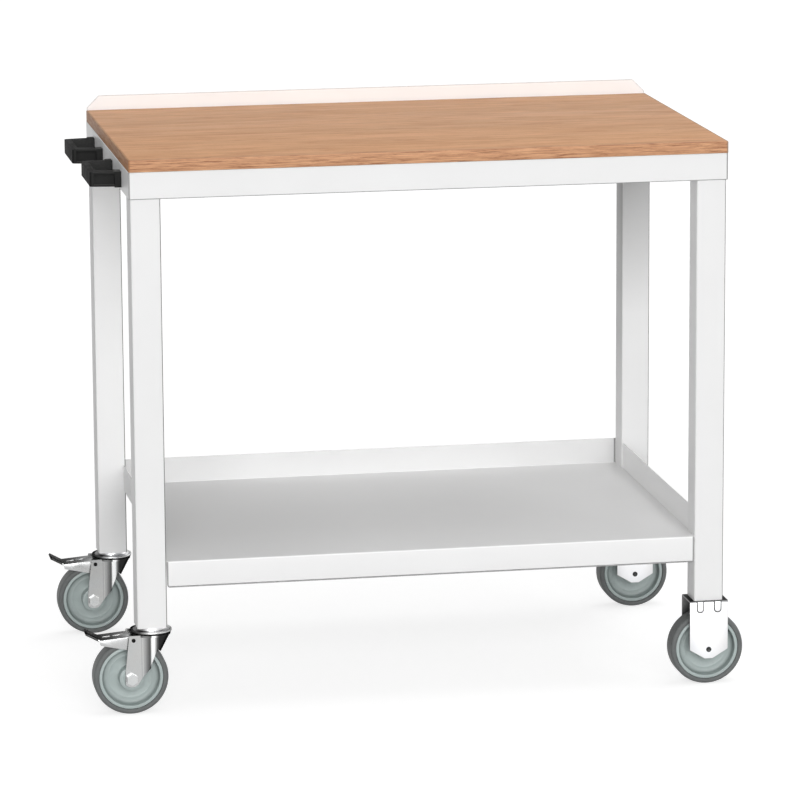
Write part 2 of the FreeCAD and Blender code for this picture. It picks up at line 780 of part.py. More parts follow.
def make_handle_screws():
    spots = [((-rail_end_in, y, z), "-X") for y, z in handle_screw_spots]
    stack(
        "handle_screws", spots,
        [
            (s.handle_screw_head, -s.handle_screw_head_high, s.handle_screw_head_high, 0),
            (s.handle_screw_radius, ZERO, s.rail_sheet + s.handle_screw_bite, 0),
        ],
    )


# ---------------------------------------------------------------- wheels


def make_wheel(name, axle_x, y):
    """Grey tyre bonded to a plastic core that turns on the axle sleeve."""
    half_tyre = s.tyre_width / 2
    half_rim = half_tyre - s.rim_inset
    core_radius = s.wheel_radius - s.tyre_thick
    rim_inner = core_radius - s.rim_wall
    seat = core_radius + s.bond_gap
    shoulder = s.wheel_radius - s.tyre_round - s.tyre_side
    spot = (axle_x, y, axle_level)
    tyre = turn(
        f"{name}_tyre",
        [
            (seat, -half_rim),
            (shoulder, -half_tyre),
            (s.wheel_radius, -half_tyre),
            (s.wheel_radius, half_tyre),
            (shoulder, half_tyre),
            (seat, half_rim),
        ],
        spot, "Y",
    )
    round_edges(
        tyre, s.tyre_round,
        lambda edge: edge.Curve.TypeId == "Part::GeomCircle"
        and abs(edge.Curve.Radius - number(s.wheel_radius)) < 0.01,
    )
    bore = s.sleeve_radius + s.running_gap
    turn(
        f"{name}_core",
        [
            (bore, -hub_length / 2),
            (s.hub_radius, -hub_length / 2),
            (s.hub_radius, -s.disc_thick / 2),
            (rim_inner, -s.disc_thick / 2),
            (rim_inner, -half_rim),
            (core_radius, -half_rim),
            (core_radius, half_rim),
            (rim_inner, half_rim),
            (rim_inner, s.disc_thick / 2),
            (s.hub_radius, s.disc_thick / 2),
            (s.hub_radius, hub_length / 2),
            (bore, hub_length / 2),
        ],
        spot, "Y",
    )


def make_sleeves(label, axle_x, positions, gap, bolt_radius):
    """Axle sleeves clamped between two cheeks."""
    pieces = []
    for y in positions:
        outer = doc.addObject("Part::Cylinder", "SleeveOutside")
        inner = doc.addObject("Part::Cylinder", "SleeveBore")
        for cylinder, radius in ((outer, s.sleeve_radius), (inner, bolt_radius + s.axle_gap)):
            cylinder.setExpression("Radius", text(radius))
            cylinder.setExpression("Height", text(gap))
            place(cylinder, (axle_x, y - gap / 2, axle_level), "Y")
        sleeve = doc.addObject("Part::Cut", "Sleeve")
        sleeve.Base = outer
        sleeve.Tool = inner
        pieces.append(sleeve)
    if len(pieces) == 1:
        pieces[0].Label = label
        nodes[label] = pieces[0]
        return
    group = doc.addObject("Part::Compound", "Sleeves")
    group.Label = label
    group.Links = pieces
    nodes[label] = group


# ---------------------------------------------------------------- swivel castors

pin_level = crown_top - s.lever_pin_drop
cheek_back_low = s.castor_trail + s.cheek_behind
kingpin_seat = crown_low - s.washer_thick - s.washer_gap
bolt_seat = kingpin_seat - s.kingpin_flange_thick


def make_swivel_head(name, x, y):
    """Fixed upper half of the swivel bearing: a stepped disc with a groove for the balls."""
    groove = s.ball_radius + s.ball_gap
    groove_top = crown_top - s.ball_sink + s.ball_radius * 2 + s.ball_gap
    bore = s.kingpin_radius + s.bolt_gap
    turn(
        f"{name}_swivel_head",
        [
            (bore, race_low),
            (s.ball_circle - groove, race_low),
            (s.ball_circle - groove, groove_top),
            (s.ball_circle + groove, groove_top),
            (s.ball_circle + groove, race_low),
            (s.race_radius, race_low),
            (s.race_radius, race_high),
            (s.race_neck, race_high),
            (s.race_neck, castor_height),
            (bore, castor_height),
        ],
        (x, y, ZERO),
    )


def make_kingpin(name, x, y):
    """Hollow rivet that holds the fork to the swivel head; the castor bolt passes through it."""
    bore = s.bolt_radius + s.bolt_gap
    turn(
        f"{name}_kingpin",
        [
            (bore, bolt_seat),
            (s.kingpin_flange, bolt_seat),
            (s.kingpin_flange, kingpin_seat),
            (s.kingpin_radius, kingpin_seat),
            (s.kingpin_radius, castor_height),
            (bore, castor_height),
        ],
        (x, y, ZERO),
    )


def make_swivel_balls(name, x, y):
    """Ring of balls seated in the crown's groove."""
    balls = []
    for index in range(int(s.ball_count.value)):
        angle = 2 * math.pi * index / s.ball_count.value
        ball = doc.addObject("Part::Sphere", "Ball")
        ball.setExpression("Radius", text(s.ball_radius))
        spot = (
            x + s.ball_circle * math.cos(angle),
            y + s.ball_circle * math.sin(angle),
            crown_top - s.ball_sink + s.ball_radius,
        )
        place(ball, spot)
        balls.append(ball)
    group = doc.addObject("Part::Compound", "Balls")
    group.Label = f"{name}_swivel_balls"
    group.Links = balls
    nodes[group.Label] = group


def make_swivel_washer(name, x, y):
    bore = s.kingpin_radius + s.running_gap
    low = crown_low - s.washer_thick
    turn(
        f"{name}_swivel_washer",
        [
            (bore, low),
            (s.kingpin_flange, low),
            (s.kingpin_flange, crown_low),
            (bore, crown_low),
        ],
        (x, y, ZERO),
    )


def web_section(level, offset, x, y):
    """Half ellipse across the fork's web at a level, closed by the chord between the cheeks."""
    nose = s.web_top.value - s.web_slope.value * (crown_top.value - level)
    half = fork_width.value / 2 - offset
    depth = nose + s.cheek_front.value - offset
    centre = FreeCAD.Vector(x - s.cheek_front.value, y, level)
    tip = centre + FreeCAD.Vector(depth, 0, 0)
    far = centre + FreeCAD.Vector(0, half, 0)
    if depth > half:
        arc = Part.Arc(Part.Ellipse(tip, far, centre), -math.pi / 2, math.pi / 2)
    else:
        arc = Part.Arc(Part.Ellipse(far, centre - FreeCAD.Vector(depth, 0, 0), centre), math.pi, 2 * math.pi)
    chord = Part.makeLine(arc.EndPoint, arc.StartPoint)
    return Part.Wire([arc.toShape(), chord])


def fork_side(x, y):
    """Slab across the fork whose outline is the fork seen from the side."""
    axle = x - s.castor_trail.value
    level = axle_level.value
    top = crown_top.value
    end = s.cheek_end.value
    nose_low = level + s.web_low.value
    nose_x = x + s.web_top.value - s.web_slope.value * (top - nose_low)
    rear_low = (x - cheek_back_low.value, level + s.cheek_back_rise.value)
    front_low = (x - s.cheek_front.value, level + s.web_bottom.value)

    def tangent_point(corner, side):
        """Where the line from a corner touches the cheek's round end."""
        du = corner[0] - axle
        dv = corner[1] - level
        angle = math.atan2(dv, du) + side * math.acos(end / math.hypot(du, dv))
        return axle + end * math.cos(angle), level + end * math.sin(angle)

    outline = [
        tangent_point(front_low, -1),
        front_low,
        (nose_x, nose_low),
        (x + s.web_top.value, nose_low),
        (x + s.web_top.value, top),
        (x - s.cheek_back_top.value, top),
        rear_low,
        tangent_point(rear_low, 1),
    ]
    points = [FreeCAD.Vector(u, y - fork_width.value, v) for u, v in outline]
    lowest = FreeCAD.Vector(axle, y - fork_width.value, level - end)
    edges = [Part.makeLine(a, b) for a, b in zip(points, points[1:])]
    edges.append(Part.Arc(points[-1], lowest, points[0]).toShape())
    return Part.Face(Part.Wire(edges)).extrude(FreeCAD.Vector(0, 2 * fork_width.value, 0))


def make_fork(name, x_size, y_size):
    """Pressed fork: two cheeks, a crown, and a half-round web that narrows downwards."""
    x = x_size.value
    y = y_size.value
    sheet = s.fork_sheet.value
    width = fork_width.value
    top = crown_top.value
    axle = FreeCAD.Vector(x - s.castor_trail.value, y, axle_level.value)
    across = FreeCAD.Vector(0, 1, 0)
    low = axle.z - s.cheek_end.value

    cheeks = [
        Part.makeBox(
            cheek_back_low.value - s.cheek_front.value, sheet, top - low,
            FreeCAD.Vector(x - cheek_back_low.value, side, low),
        )
        for side in (y - width / 2, y + width / 2 - sheet)
    ]
    web_low = axle.z + s.web_bottom.value - sheet
    outside = Part.makeLoft([web_section(level, 0, x, y) for level in (web_low, top)], True, True)
    inside = Part.makeLoft([web_section(level, sheet, x, y) for level in (web_low, top)], True, True)
    walls = outside.cut(inside).fuse(cheeks).common(fork_side(x, y))

    crown = Part.makeCylinder(s.crown_radius.value, sheet, FreeCAD.Vector(x, y, top - sheet))
    bridge_back = x - s.cheek_front.value - s.bridge_length.value
    bridge = Part.makeBox(
        s.bridge_length.value, width, sheet, FreeCAD.Vector(bridge_back, y - width / 2, top - sheet)
    )
    fork = walls.fuse([crown, bridge])

    groove = s.ball_radius.value + s.ball_gap.value
    groove_floor = FreeCAD.Vector(x, y, top - s.ball_sink.value)
    groove_ring = Part.makeCylinder(s.ball_circle.value + groove, sheet, groove_floor)
    island = Part.makeCylinder(s.ball_circle.value - groove, sheet, groove_floor)
    half_arch = s.tyre_width.value / 2 + s.tyre_side_clear.value
    openings = [
        Part.makeCylinder(
            s.kingpin_radius.value + s.running_gap.value, sheet * 3, FreeCAD.Vector(x, y, top - 2 * sheet)
        ),
        groove_ring.cut(island),
        Part.makeCylinder(
            s.wheel_radius.value + s.tyre_clear.value, 2 * half_arch, axle - across * half_arch, across
        ),
        Part.makeCylinder(
            s.axle_radius.value + s.axle_gap.value, 2 * width, axle - across * width, across
        ),
        Part.makeCylinder(
            s.lever_pin_radius.value + s.axle_gap.value, 2 * width,
            FreeCAD.Vector(x - s.lever_pin_back.value, y - width, pin_level.value), across,
        ),
    ]
    piece = doc.addObject("Part::Feature", "Fork")
    piece.Label = f"{name}_fork"
    piece.Shape = fork.cut(openings).removeSplitter()
    nodes[piece.Label] = piece


def make_axle_bolt(name, axle_x, y):
    """Hex bolt from the front cheek through the sleeve, and its nut behind the rear cheek."""
    half = fork_width / 2
    through = fork_width + s.axle_nut_high + s.axle_tail
    stack(
        f"{name}_axle_bolt", [((axle_x, y - half, axle_level), "Y")],
        [
            (s.axle_head_flats, -s.axle_head_high, s.axle_head_high, 6),
            (s.axle_radius, ZERO, through, 0),
        ],
    )
    nut = new_body(f"{name}_axle_nut")
    radius = s.axle_head_flats / (2 * math.cos(math.pi / 6))
    hexagon = [
        (
            axle_x + radius * math.sin(math.pi / 3 * step),
            axle_level + radius * math.cos(math.pi / 3 * step),
        )
        for step in range(6)
    ]
    bore = ((axle_x, axle_level), s.axle_radius + s.pilot_gap)
    add(nut, "XZ", y + half, s.axle_nut_high, hexagon, bore)


def make_lever_pins(name, x, y):
    """Two short rivets, one through each cheek, that the brake lever turns on."""
    half = fork_width / 2
    shank = (fork_width - lever_width) / 2 + s.lever_sheet
    stack(
        f"{name}_lever_pins",
        [
            ((x - s.lever_pin_back, y + half * side, pin_level), direction)
            for side, direction in ((-1, "Y"), (1, "-Y"))
        ],
        [
            (s.lever_pin_head, -s.lever_pin_head_high, s.lever_pin_head_high, 0),
            (s.lever_pin_radius, ZERO, shank, 0),
        ],
    )


def make_brake_lever(name, x, y):
    """Channel over the wheel that turns on the pin, with a treadle at its end."""
    body = new_body(f"{name}_brake_lever")
    pin_x = x - s.lever_pin_back
    pin_z = pin_level
    half = lever_width / 2
    tip = pin_x - s.lever_reach
    back_high = pin_z + s.lever_rise
    back_tip = back_high - s.lever_drop
    nose = pin_x + s.lever_nose
    heel = x - s.crown_radius - s.lever_heel_gap
    side = [
        (nose, pin_z - s.lever_nose),
        (nose, pin_z + s.lever_nose),
        (heel, pin_z + s.lever_nose),
        (heel, back_high),
        (tip, back_tip),
        (tip + s.lever_sheet, pin_z - s.lever_side_tip),
        (heel - s.lever_rise, pin_z - s.lever_side_low),
    ]
    add(body, "XZ", y - half, lever_width, side)
    hollow = [
        (nose + s.lever_sheet, pin_z - s.lever_side_low * 2),
        (nose + s.lever_sheet, back_high),
        (heel, back_high - s.lever_sheet),
        (tip + s.lever_sheet, back_tip - s.lever_sheet),
        (tip - s.lever_sheet, back_tip - s.lever_sheet),
        (tip - s.lever_sheet, pin_z - s.lever_side_low * 2),
    ]
    cut(body, "XZ", y - half + s.lever_sheet, lever_width - s.lever_sheet * 2, hollow)
    treadle_half = s.treadle_width / 2
    treadle = [
        (tip, back_tip - s.lever_sheet),
        (tip + s.lever_sheet, back_tip),
        (tip - s.treadle_reach, back_tip + s.treadle_rise),
        (tip - s.treadle_reach - s.lever_sheet, back_tip + s.treadle_rise - s.lever_sheet),
    ]
    add(body, "XZ", y - treadle_half, s.treadle_width, treadle)
    cut(body, "XZ", y - half, lever_width, ((pin_x, pin_z), s.lever_pin_radius + s.running_gap))
    for step in (0, 1):
        middle = tip + s.lever_slot_first + s.lever_slot_pitch * step
        slot = rectangle(
            (middle - s.lever_slot / 2, y - s.lever_slot_width / 2),
            (middle + s.lever_slot / 2, y + s.lever_slot_width / 2),
        )
        cut(body, "XY", pin_z - s.lever_sheet, s.lever_rise * 3, slot)


def make_swivel_castor(name, x, y):
    axle_x = x - s.castor_trail
    make_swivel_head(name, x, y)
    make_kingpin(name, x, y)
    make_swivel_balls(name, x, y)
    make_swivel_washer(name, x, y)
    make_fork(name, x, y)
    make_axle_bolt(name, axle_x, y)
    make_sleeves(f"{name}_axle_sleeve", axle_x, [y], fork_inside, s.axle_radius)
    make_lever_pins(name, x, y)
    make_brake_lever(name, x, y)
    make_wheel(name, axle_x, y)


# ---------------------------------------------------------------- fixed castors


def make_fixed_bracket(name, x, y):
    """Sheet bent to an inverted U under the leg, its cheeks cut to a blunt point at the axle."""
    body = new_body(f"{name}_bracket")
    half = bracket_width / 2
    inside = bracket_inside / 2
    top = castor_height
    low = axle_level - s.bracket_drop
    end = s.bracket_length / 2
    tip = s.bracket_tip / 2
    section = [
        (y - half, low),
        (y - half, top),
        (y + half, top),
        (y + half, low),
        (y + inside, low),
        (y + inside, top - s.bracket_sheet),
        (y - inside, top - s.bracket_sheet),
        (y - inside, low),
    ]
    add(body, "YZ", x - end, s.bracket_length, section)
    near = [(x - end, low), (x - tip, low), (x - end, axle_level)]
    far = [(x + tip, low), (x + end, low), (x + end, axle_level)]
    cut(body, "XZ", y - half, bracket_width, near, far)
    cut(
        body, "XZ", y - half, bracket_width,
        ((x, axle_level), s.fixed_axle_radius + s.pilot_gap),
    )
    cut(body, "XY", top - s.bracket_sheet, s.bracket_sheet, ((x, y), s.bolt_radius + s.bolt_gap))
    round_edges(
        body, s.bracket_bend,
        lambda edge: along(edge, "x") and (at(edge, y=y - half, z=top) or at(edge, y=y + half, z=top)),
    )
    for step in (-1, 1):
        middle = x + s.rib_spread * step
        rib = rectangle((middle - s.rib_width / 2, top - s.rib_length), (middle + s.rib_width / 2, top))
        add(body, "XZ", y - half - s.rib_proud, s.rib_proud + s.bracket_sheet, rib)


def make_fixed_axles(x, positions):
    """Plain axle pins flush with the cheeks, and spacers between cheek and hub."""
    half = bracket_width / 2
    spots = [((x, y - half, axle_level), "Y") for y in positions]
    stack("fixed_axles", spots, [(s.fixed_axle_radius, ZERO, bracket_width, 0)])
    make_sleeves("fixed_axle_sleeves", x, positions, bracket_inside, s.fixed_axle_radius)
    spacers = []
    for y in positions:
        for start in (y - bracket_inside / 2, y + bracket_inside / 2 - s.spacer_length):
            ring = doc.addObject("Part::Cylinder", "SpacerOutside")
            bore = doc.addObject("Part::Cylinder", "SpacerBore")
            for cylinder, radius in ((ring, s.spacer_radius), (bore, s.sleeve_radius + s.pilot_gap)):
                cylinder.setExpression("Radius", text(radius))
                cylinder.setExpression("Height", text(s.spacer_length))
                place(cylinder, (x, start, axle_level), "Y")
            spacer = doc.addObject("Part::Cut", "Spacer")
            spacer.Base = ring
            spacer.Tool = bore
            spacers.append(spacer)
    group = doc.addObject("Part::Compound", "Spacers")
    group.Label = "fixed_spacers"
    group.Links = spacers
    nodes[group.Label] = group


def make_castor_bolts(label, x, positions, seat):
    """Low-head screws up into the leg inserts."""
    spots = [((x, y, seat), "Z") for y in positions]
    shank = castor_height - seat + s.insert_thick
    stack(
        label, spots,
        [
            (s.bolt_head, -s.bolt_head_high, s.bolt_head_high, 0),
            (s.bolt_radius, ZERO, shank, 0),
        ],
    )


# ---------------------------------------------------------------- the whole table


def make_table():
    make_worktop()
    make_long_rail("front_rail", rail_front, 1)
    make_long_rail("rear_rail", rail_rear, -1)
    make_end_rail("left_rail", -1)
    make_end_rail("right_rail", 1)
    make_upstand()
    make_top_screws()
    for name, side_x, side_y, x, y in CORNERS:
        make_leg(name, x, y)
        make_leg_plate(name, side_x, side_y, x, y)
        make_foot_insert(name, x, y)
    make_shelf()
    make_shelf_lips()
    for label, centre in handle_centres:
        make_handle(label, centre)
    make_handle_screws()
    sides = [("front", leg_front_y), ("rear", leg_rear_y)]
    for name, y in sides:
        make_swivel_castor(f"{name}_left", -leg_x, y)
        make_fixed_bracket(f"{name}_right", leg_x, y)
        make_wheel(f"{name}_right", leg_x, y)
    positions = [y for name, y in sides]
    make_fixed_axles(leg_x, positions)
    make_castor_bolts("swivel_castor_bolts", -leg_x, positions, bolt_seat)
    make_castor_bolts("fixed_castor_bolts", leg_x, positions, castor_height - s.bracket_sheet)


def check_document():
    """Raise if any object failed, any node is empty, or any feature changed no volume."""
    for item in doc.Objects:
        if "Invalid" in item.State or "Error" in item.State:
            raise RuntimeError(f"{item.Name} ({item.Label}) failed: {item.State}")
    for label, item in nodes.items():
        if item.Shape.isNull() or not item.Shape.isValid() or not item.Shape.Solids:
            raise RuntimeError(f"{label} has no valid solid")
        if item.TypeId != "PartDesign::Body":
            continue
        volume = 0.0
        for feature in item.Group:
            if not feature.isDerivedFrom("PartDesign::Feature"):
                continue
            change = feature.Shape.Volume - volume
            if abs(change) < 1e-6 or (feature.TypeId == "PartDesign::Pocket") != (change < 0):
                if feature.TypeId != "PartDesign::Fillet":
                    raise RuntimeError(f"{label}: {feature.Name} changes the volume by {change}")
            volume = feature.Shape.Volume


def write_parts():
    os.makedirs("parts", exist_ok=True)
    for label, item in sorted(nodes.items()):
        item.Shape.exportStep(os.path.join("parts", f"{label}.step"))
        print(f"{label}: {len(item.Shape.Solids)} solid(s), {item.Shape.Volume:.1f} mm3")
    print(f"{len(nodes)} nodes")


make_table()
doc.recompute()
check_document()
write_parts()
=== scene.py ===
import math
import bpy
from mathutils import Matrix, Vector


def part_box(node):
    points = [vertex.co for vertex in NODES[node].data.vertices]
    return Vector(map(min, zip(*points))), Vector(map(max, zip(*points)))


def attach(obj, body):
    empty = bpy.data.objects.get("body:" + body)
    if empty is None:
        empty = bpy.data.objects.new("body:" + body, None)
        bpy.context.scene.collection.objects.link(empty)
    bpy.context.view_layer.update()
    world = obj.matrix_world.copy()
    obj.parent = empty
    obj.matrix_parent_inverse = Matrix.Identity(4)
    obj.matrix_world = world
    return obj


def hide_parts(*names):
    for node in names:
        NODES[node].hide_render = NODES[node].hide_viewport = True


bl_info = {
    "name": "Assembly table",
    "version": (1, 0, 0),
    "blender": (4, 5, 0),
    "location": "View3D > Sidebar > Table",
    "description": "Finished pieces, materials and stage of a mobile assembly table",
    "category": "Object",
}

from contextlib import contextmanager

import bmesh
import bpy
import numpy as np
from mathutils import Matrix, Vector

# Metres. Origin on the floor under the worktop's centre, +X to the right, the handles at -X,
# +Y to the rear where the upstand stands, +Z up.
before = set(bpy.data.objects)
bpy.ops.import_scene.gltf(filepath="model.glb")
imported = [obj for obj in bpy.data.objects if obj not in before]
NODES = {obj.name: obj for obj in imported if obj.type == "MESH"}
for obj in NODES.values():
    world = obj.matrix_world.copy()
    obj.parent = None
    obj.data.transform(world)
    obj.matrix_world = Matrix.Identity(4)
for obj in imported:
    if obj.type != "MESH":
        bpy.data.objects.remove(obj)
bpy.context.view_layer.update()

SWIVEL_CORNERS = ("front_left", "rear_left")
FIXED_CORNERS = ("front_right", "rear_right")

UPSTAND_CUT = 0.021  # leg of the cut at each end of the upstand's top
HANDLE_GRIP = 0.0115  # thickness of a bow handle's grip
HANDLE_ARM = 0.0130  # from a bow handle's end to the inner side of its arm
BRACKET_HALF = 0.0295  # from a fixed wheel's middle plane to its bracket's outside
BRACKET_SHEET = 0.003
TREADLE_FOLD = (-0.5613, 0.12905)  # x and z where a brake lever bends up into its treadle
LEVER_TILT = -0.0795  # slope of a brake lever's back, in radians

# Parts of the plated castors along X, over which their painted reflections change.
FORK_NOSE = (-0.488, -0.439)
CHEEK_FOLDS = (-0.4880, -0.4915)
LEVER_BACK = (-0.5620, -0.5060)
RING_TURN = (-0.5080, -0.4700)
PLATE_TURN = (-0.5050, -0.4700)


# ---------------------------------------------------------------- sizes and colours


def amount(name, description, default, **more):
    return bpy.props.FloatProperty(name=name, description=description, default=default, **more)


def length(name, description, default):
    return amount(name, description, default, min=0.0, unit="LENGTH", precision=5)


def triple(name, description, default, subtype, **more):
    return bpy.props.FloatVectorProperty(
        name=name, description=description, default=default, subtype=subtype, **more
    )


def colour(name, description, default):
    return triple(name, description, default, "COLOR", size=3, min=0.0, max=1.0)


class TableSizes(bpy.types.PropertyGroup):
    """Small radii and details that the finished pieces add."""

    top_round: length("Worktop edge", "Radius of the worktop's eased edges", 0.0012)
    tray_bend: length("Tray bend", "Outside radius of the tray's folds", 0.0030)
    tray_sheet: length("Tray sheet", "Thickness of the tray's sheet", 0.0015)
    plastic_round: length("Handle edge", "Radius of the handles' moulded edges", 0.0014)
    handle_splay: length("Handle splay", "How far each arm of a handle leans out at the rail", 0.0085)
    press_round: length("Pressed edge", "Radius of the castors' pressed edges", 0.0005)
    leg_round: length("Leg corner", "Outside radius of a leg tube's corners", 0.0028)
    leg_wall: length("Leg wall", "Wall of a leg tube", 0.0020)


class TableFinish(bpy.types.PropertyGroup):
    """Base colours of the finishes."""

    beech: colour("Beech", "Oiled beech of the worktop", (0.700, 0.385, 0.200))
    paint: colour("Powder coat", "White powder coat of the frame and tray", (0.86, 0.86, 0.86))
    plastic: colour("Handle plastic", "Moulded plastic of the bow handles", (0.0200, 0.0203, 0.0200))
    tyre: colour("Tyre rubber", "Grey rubber of the tyres", (0.130, 0.137, 0.136))
    core: colour("Wheel core", "Plastic of the wheel cores", (0.39, 0.45, 0.44))
    zinc: colour("Zinc", "Bright zinc plating of forks and levers", (0.605, 0.61, 0.61))
    bracket: colour("Bracket zinc", "Pale zinc plating of the fixed brackets", (0.88, 0.88, 0.89))
    steel: colour("Steel", "Turned steel of axles and screws", (0.50, 0.50, 0.51))


class TableStage(bpy.types.PropertyGroup):
    """Light, floor and camera."""

    sky_light: amount("Room light", "Strength of the even light from all round", 0.335)
    front_light: amount("Front light", "Strength of the soft lamp low in front", 2.29)
    left_light: amount("Left light", "Strength of the soft lamp in front on the left", 0.12)
    top_light: amount("Top light", "Strength of the soft lamp overhead", 0.70)
    side_light: amount("Side light", "Strength of the soft level lamp on the right", 0.60)
    lamp_spread: amount("Lamp spread", "Angle that a soft lamp fills", math.radians(45), subtype="ANGLE")
    floor_size: length("Floor", "Side of the square floor", 80.0)
    camera_at: triple("Camera", "Place of the camera", (-1.3813, -7.6313, 2.0465), "TRANSLATION")
    camera_turn: triple(
        "Camera angles", "Yaw, downward pitch and roll of the camera", (0.1789, 0.2026, -0.0060), "EULER"
    )
    camera_lens: amount("Lens", "Focal length in millimetres on a 36 mm frame", 207.1)


# ---------------------------------------------------------------- node trees


class Graph:
    """A node tree, with a short call for each kind of node that repeats."""

    def __init__(self, tree):
        self.tree = tree
        self.known = {}

    def add(self, kind, inputs=None, **settings):
        """The outputs of a new node; its inputs are values, or sockets to link from."""
        item = self.tree.nodes.new(kind)
        for key, value in settings.items():
            setattr(item, key, value)
        for key, value in (inputs or {}).items():
            if isinstance(value, bpy.types.NodeSocket):
                self.tree.links.new(value, item.inputs[key])
            else:
                item.inputs[key].default_value = value
        return item.outputs

    def maths(self, operation, first, second=0.0):
        return self.add("ShaderNodeMath", {0: first, 1: second}, operation=operation)["Value"]

    def chain(self, operation, values):
        total, *others = values
        for value in others:
            total = self.maths(operation, total, value)
        return total

    def times(self, *values):
        return self.chain("MULTIPLY", values)

    def plus(self, *values):
        return self.chain("ADD", values)

    def most(self, *values):
        return self.chain("MAXIMUM", values)

    def less(self, first, second):
        return self.maths("SUBTRACT", first, second)

    def size(self, value):
        return self.maths("ABSOLUTE", value)

    def vector(self, **parts):
        return self.add("ShaderNodeCombineXYZ", parts)["Vector"]

    def parts(self, vector):
        return self.add("ShaderNodeSeparateXYZ", {"Vector": vector})

    def axes(self, kind):
        """The X, Y and Z of one output of the texture coordinates."""
        if kind not in self.known:
            self.known[kind] = self.parts(self.add("ShaderNodeTexCoord")[kind])
        return self.known[kind]

    @property
    def face(self):
        """How far the surface looks along X, Y and Z."""
        return self.axes("Normal")

    @property
    def spot(self):
        """Where the surface is along X, Y and Z."""
        return self.axes("Object")

    def stored(self, name):
        """A number stored on the mesh."""
        return self.add("ShaderNodeAttribute", attribute_name=name)["Fac"]

    def noise(self, scale, detail=3.0, roughness=0.5, distortion=0.0):
        """Noise on Object coordinates; three scales stretch it along X, Y and Z."""
        stretch, scale = (scale, 1.0) if isinstance(scale, tuple) else ((1, 1, 1), scale)
        place = self.add("ShaderNodeTexCoord")["Object"]
        spread = self.add("ShaderNodeMapping", {"Vector": place, "Scale": stretch})["Vector"]
        return self.add("ShaderNodeTexNoise", {
            "Vector": spread, "Scale": scale, "Detail": detail, "Roughness": roughness,
            "Distortion": distortion,
        })["Fac"]

    def remap(self, value, low, high, to_low=0.0, to_high=1.0):
        limits = {"From Min": low, "From Max": high, "To Min": to_low, "To Max": to_high}
        return self.add("ShaderNodeMapRange", {"Value": value, **limits})["Result"]

    def fall(self, value, low, high):
        """1 up to the low value and 0 from the high value on."""
        return self.remap(value, low, high, 1.0, 0.0)

    def near(self, value, place, width, core=0.6):
        """1 on a line where a value has its place, and 0 beyond the line's width."""
        return self.fall(self.size(self.less(value, place)), width * core, width)

    def mix(self, factor, first, second, blend="MIX"):
        """Colour mix of two colours or colour sockets."""
        inputs = {0: factor}
        for key, value in ((6, first), (7, second)):
            inputs[key] = value if isinstance(value, bpy.types.NodeSocket) else (*value, 1.0)
        return self.add("ShaderNodeMix", inputs, data_type="RGBA", blend_type=blend)[2]

    def layer(self, under, over, value, low, high, least=0.0, most=1.0):
        """One colour over another, as a value goes from low to high."""
        return self.mix(self.remap(value, low, high, least, most), under, over)

    def dim(self, colour, level):
        return self.mix(1.0, colour, level, "MULTIPLY")

    def curve(self, value, stops):
        """A smooth grey level along a value between 0 and 1."""
        ramp = self.tree.nodes.new("ShaderNodeValToRGB")
        self.tree.links.new(value, ramp.inputs["Fac"])
        points = ramp.color_ramp.elements
        while len(points) < len(stops):
            points.new(0.5)
        for point, (place, level) in zip(points, stops):
            point.position = place
            point.color = (*grey(level), 1.0)
        return ramp.outputs["Color"]


def empty_tree(data):
    """The node tree of a material or world, without its first nodes."""
    data.use_nodes = True
    data.node_tree.nodes.clear()
    return data.node_tree


class Finish(Graph):
    """A material with one Principled shader."""

    def __init__(self, name, specular=0.5):
        self.material = bpy.data.materials.new(name)
        super().__init__(empty_tree(self.material))
        self.shader = self.tree.nodes.new("ShaderNodeBsdfPrincipled")
        self.add("ShaderNodeOutputMaterial", {"Surface": self.shader.outputs["BSDF"]})
        self.set("Specular IOR Level", specular)

    def set(self, socket, value):
        self.shader.inputs[socket].default_value = value

    def close(self, tint, gloss, relief, depth, strength):
        """Link the colour, the roughness and the height of the relief, and return the material."""
        bumps = self.add("ShaderNodeBump", {"Height": relief, "Distance": depth, "Strength": strength})
        for socket, value in (("Base Color", tint), ("Roughness", gloss), ("Normal", bumps["Normal"])):
            self.tree.links.new(value, self.shader.inputs[socket])
        return self.material


def shade(base, *factors):
    """A colour with its channels multiplied by one factor or by three."""
    factors = factors * 3 if len(factors) == 1 else factors
    return tuple(channel * factor for channel, factor in zip(base, factors))


def grey(level):
    return (level, level, level)


# ---------------------------------------------------------------- finishes


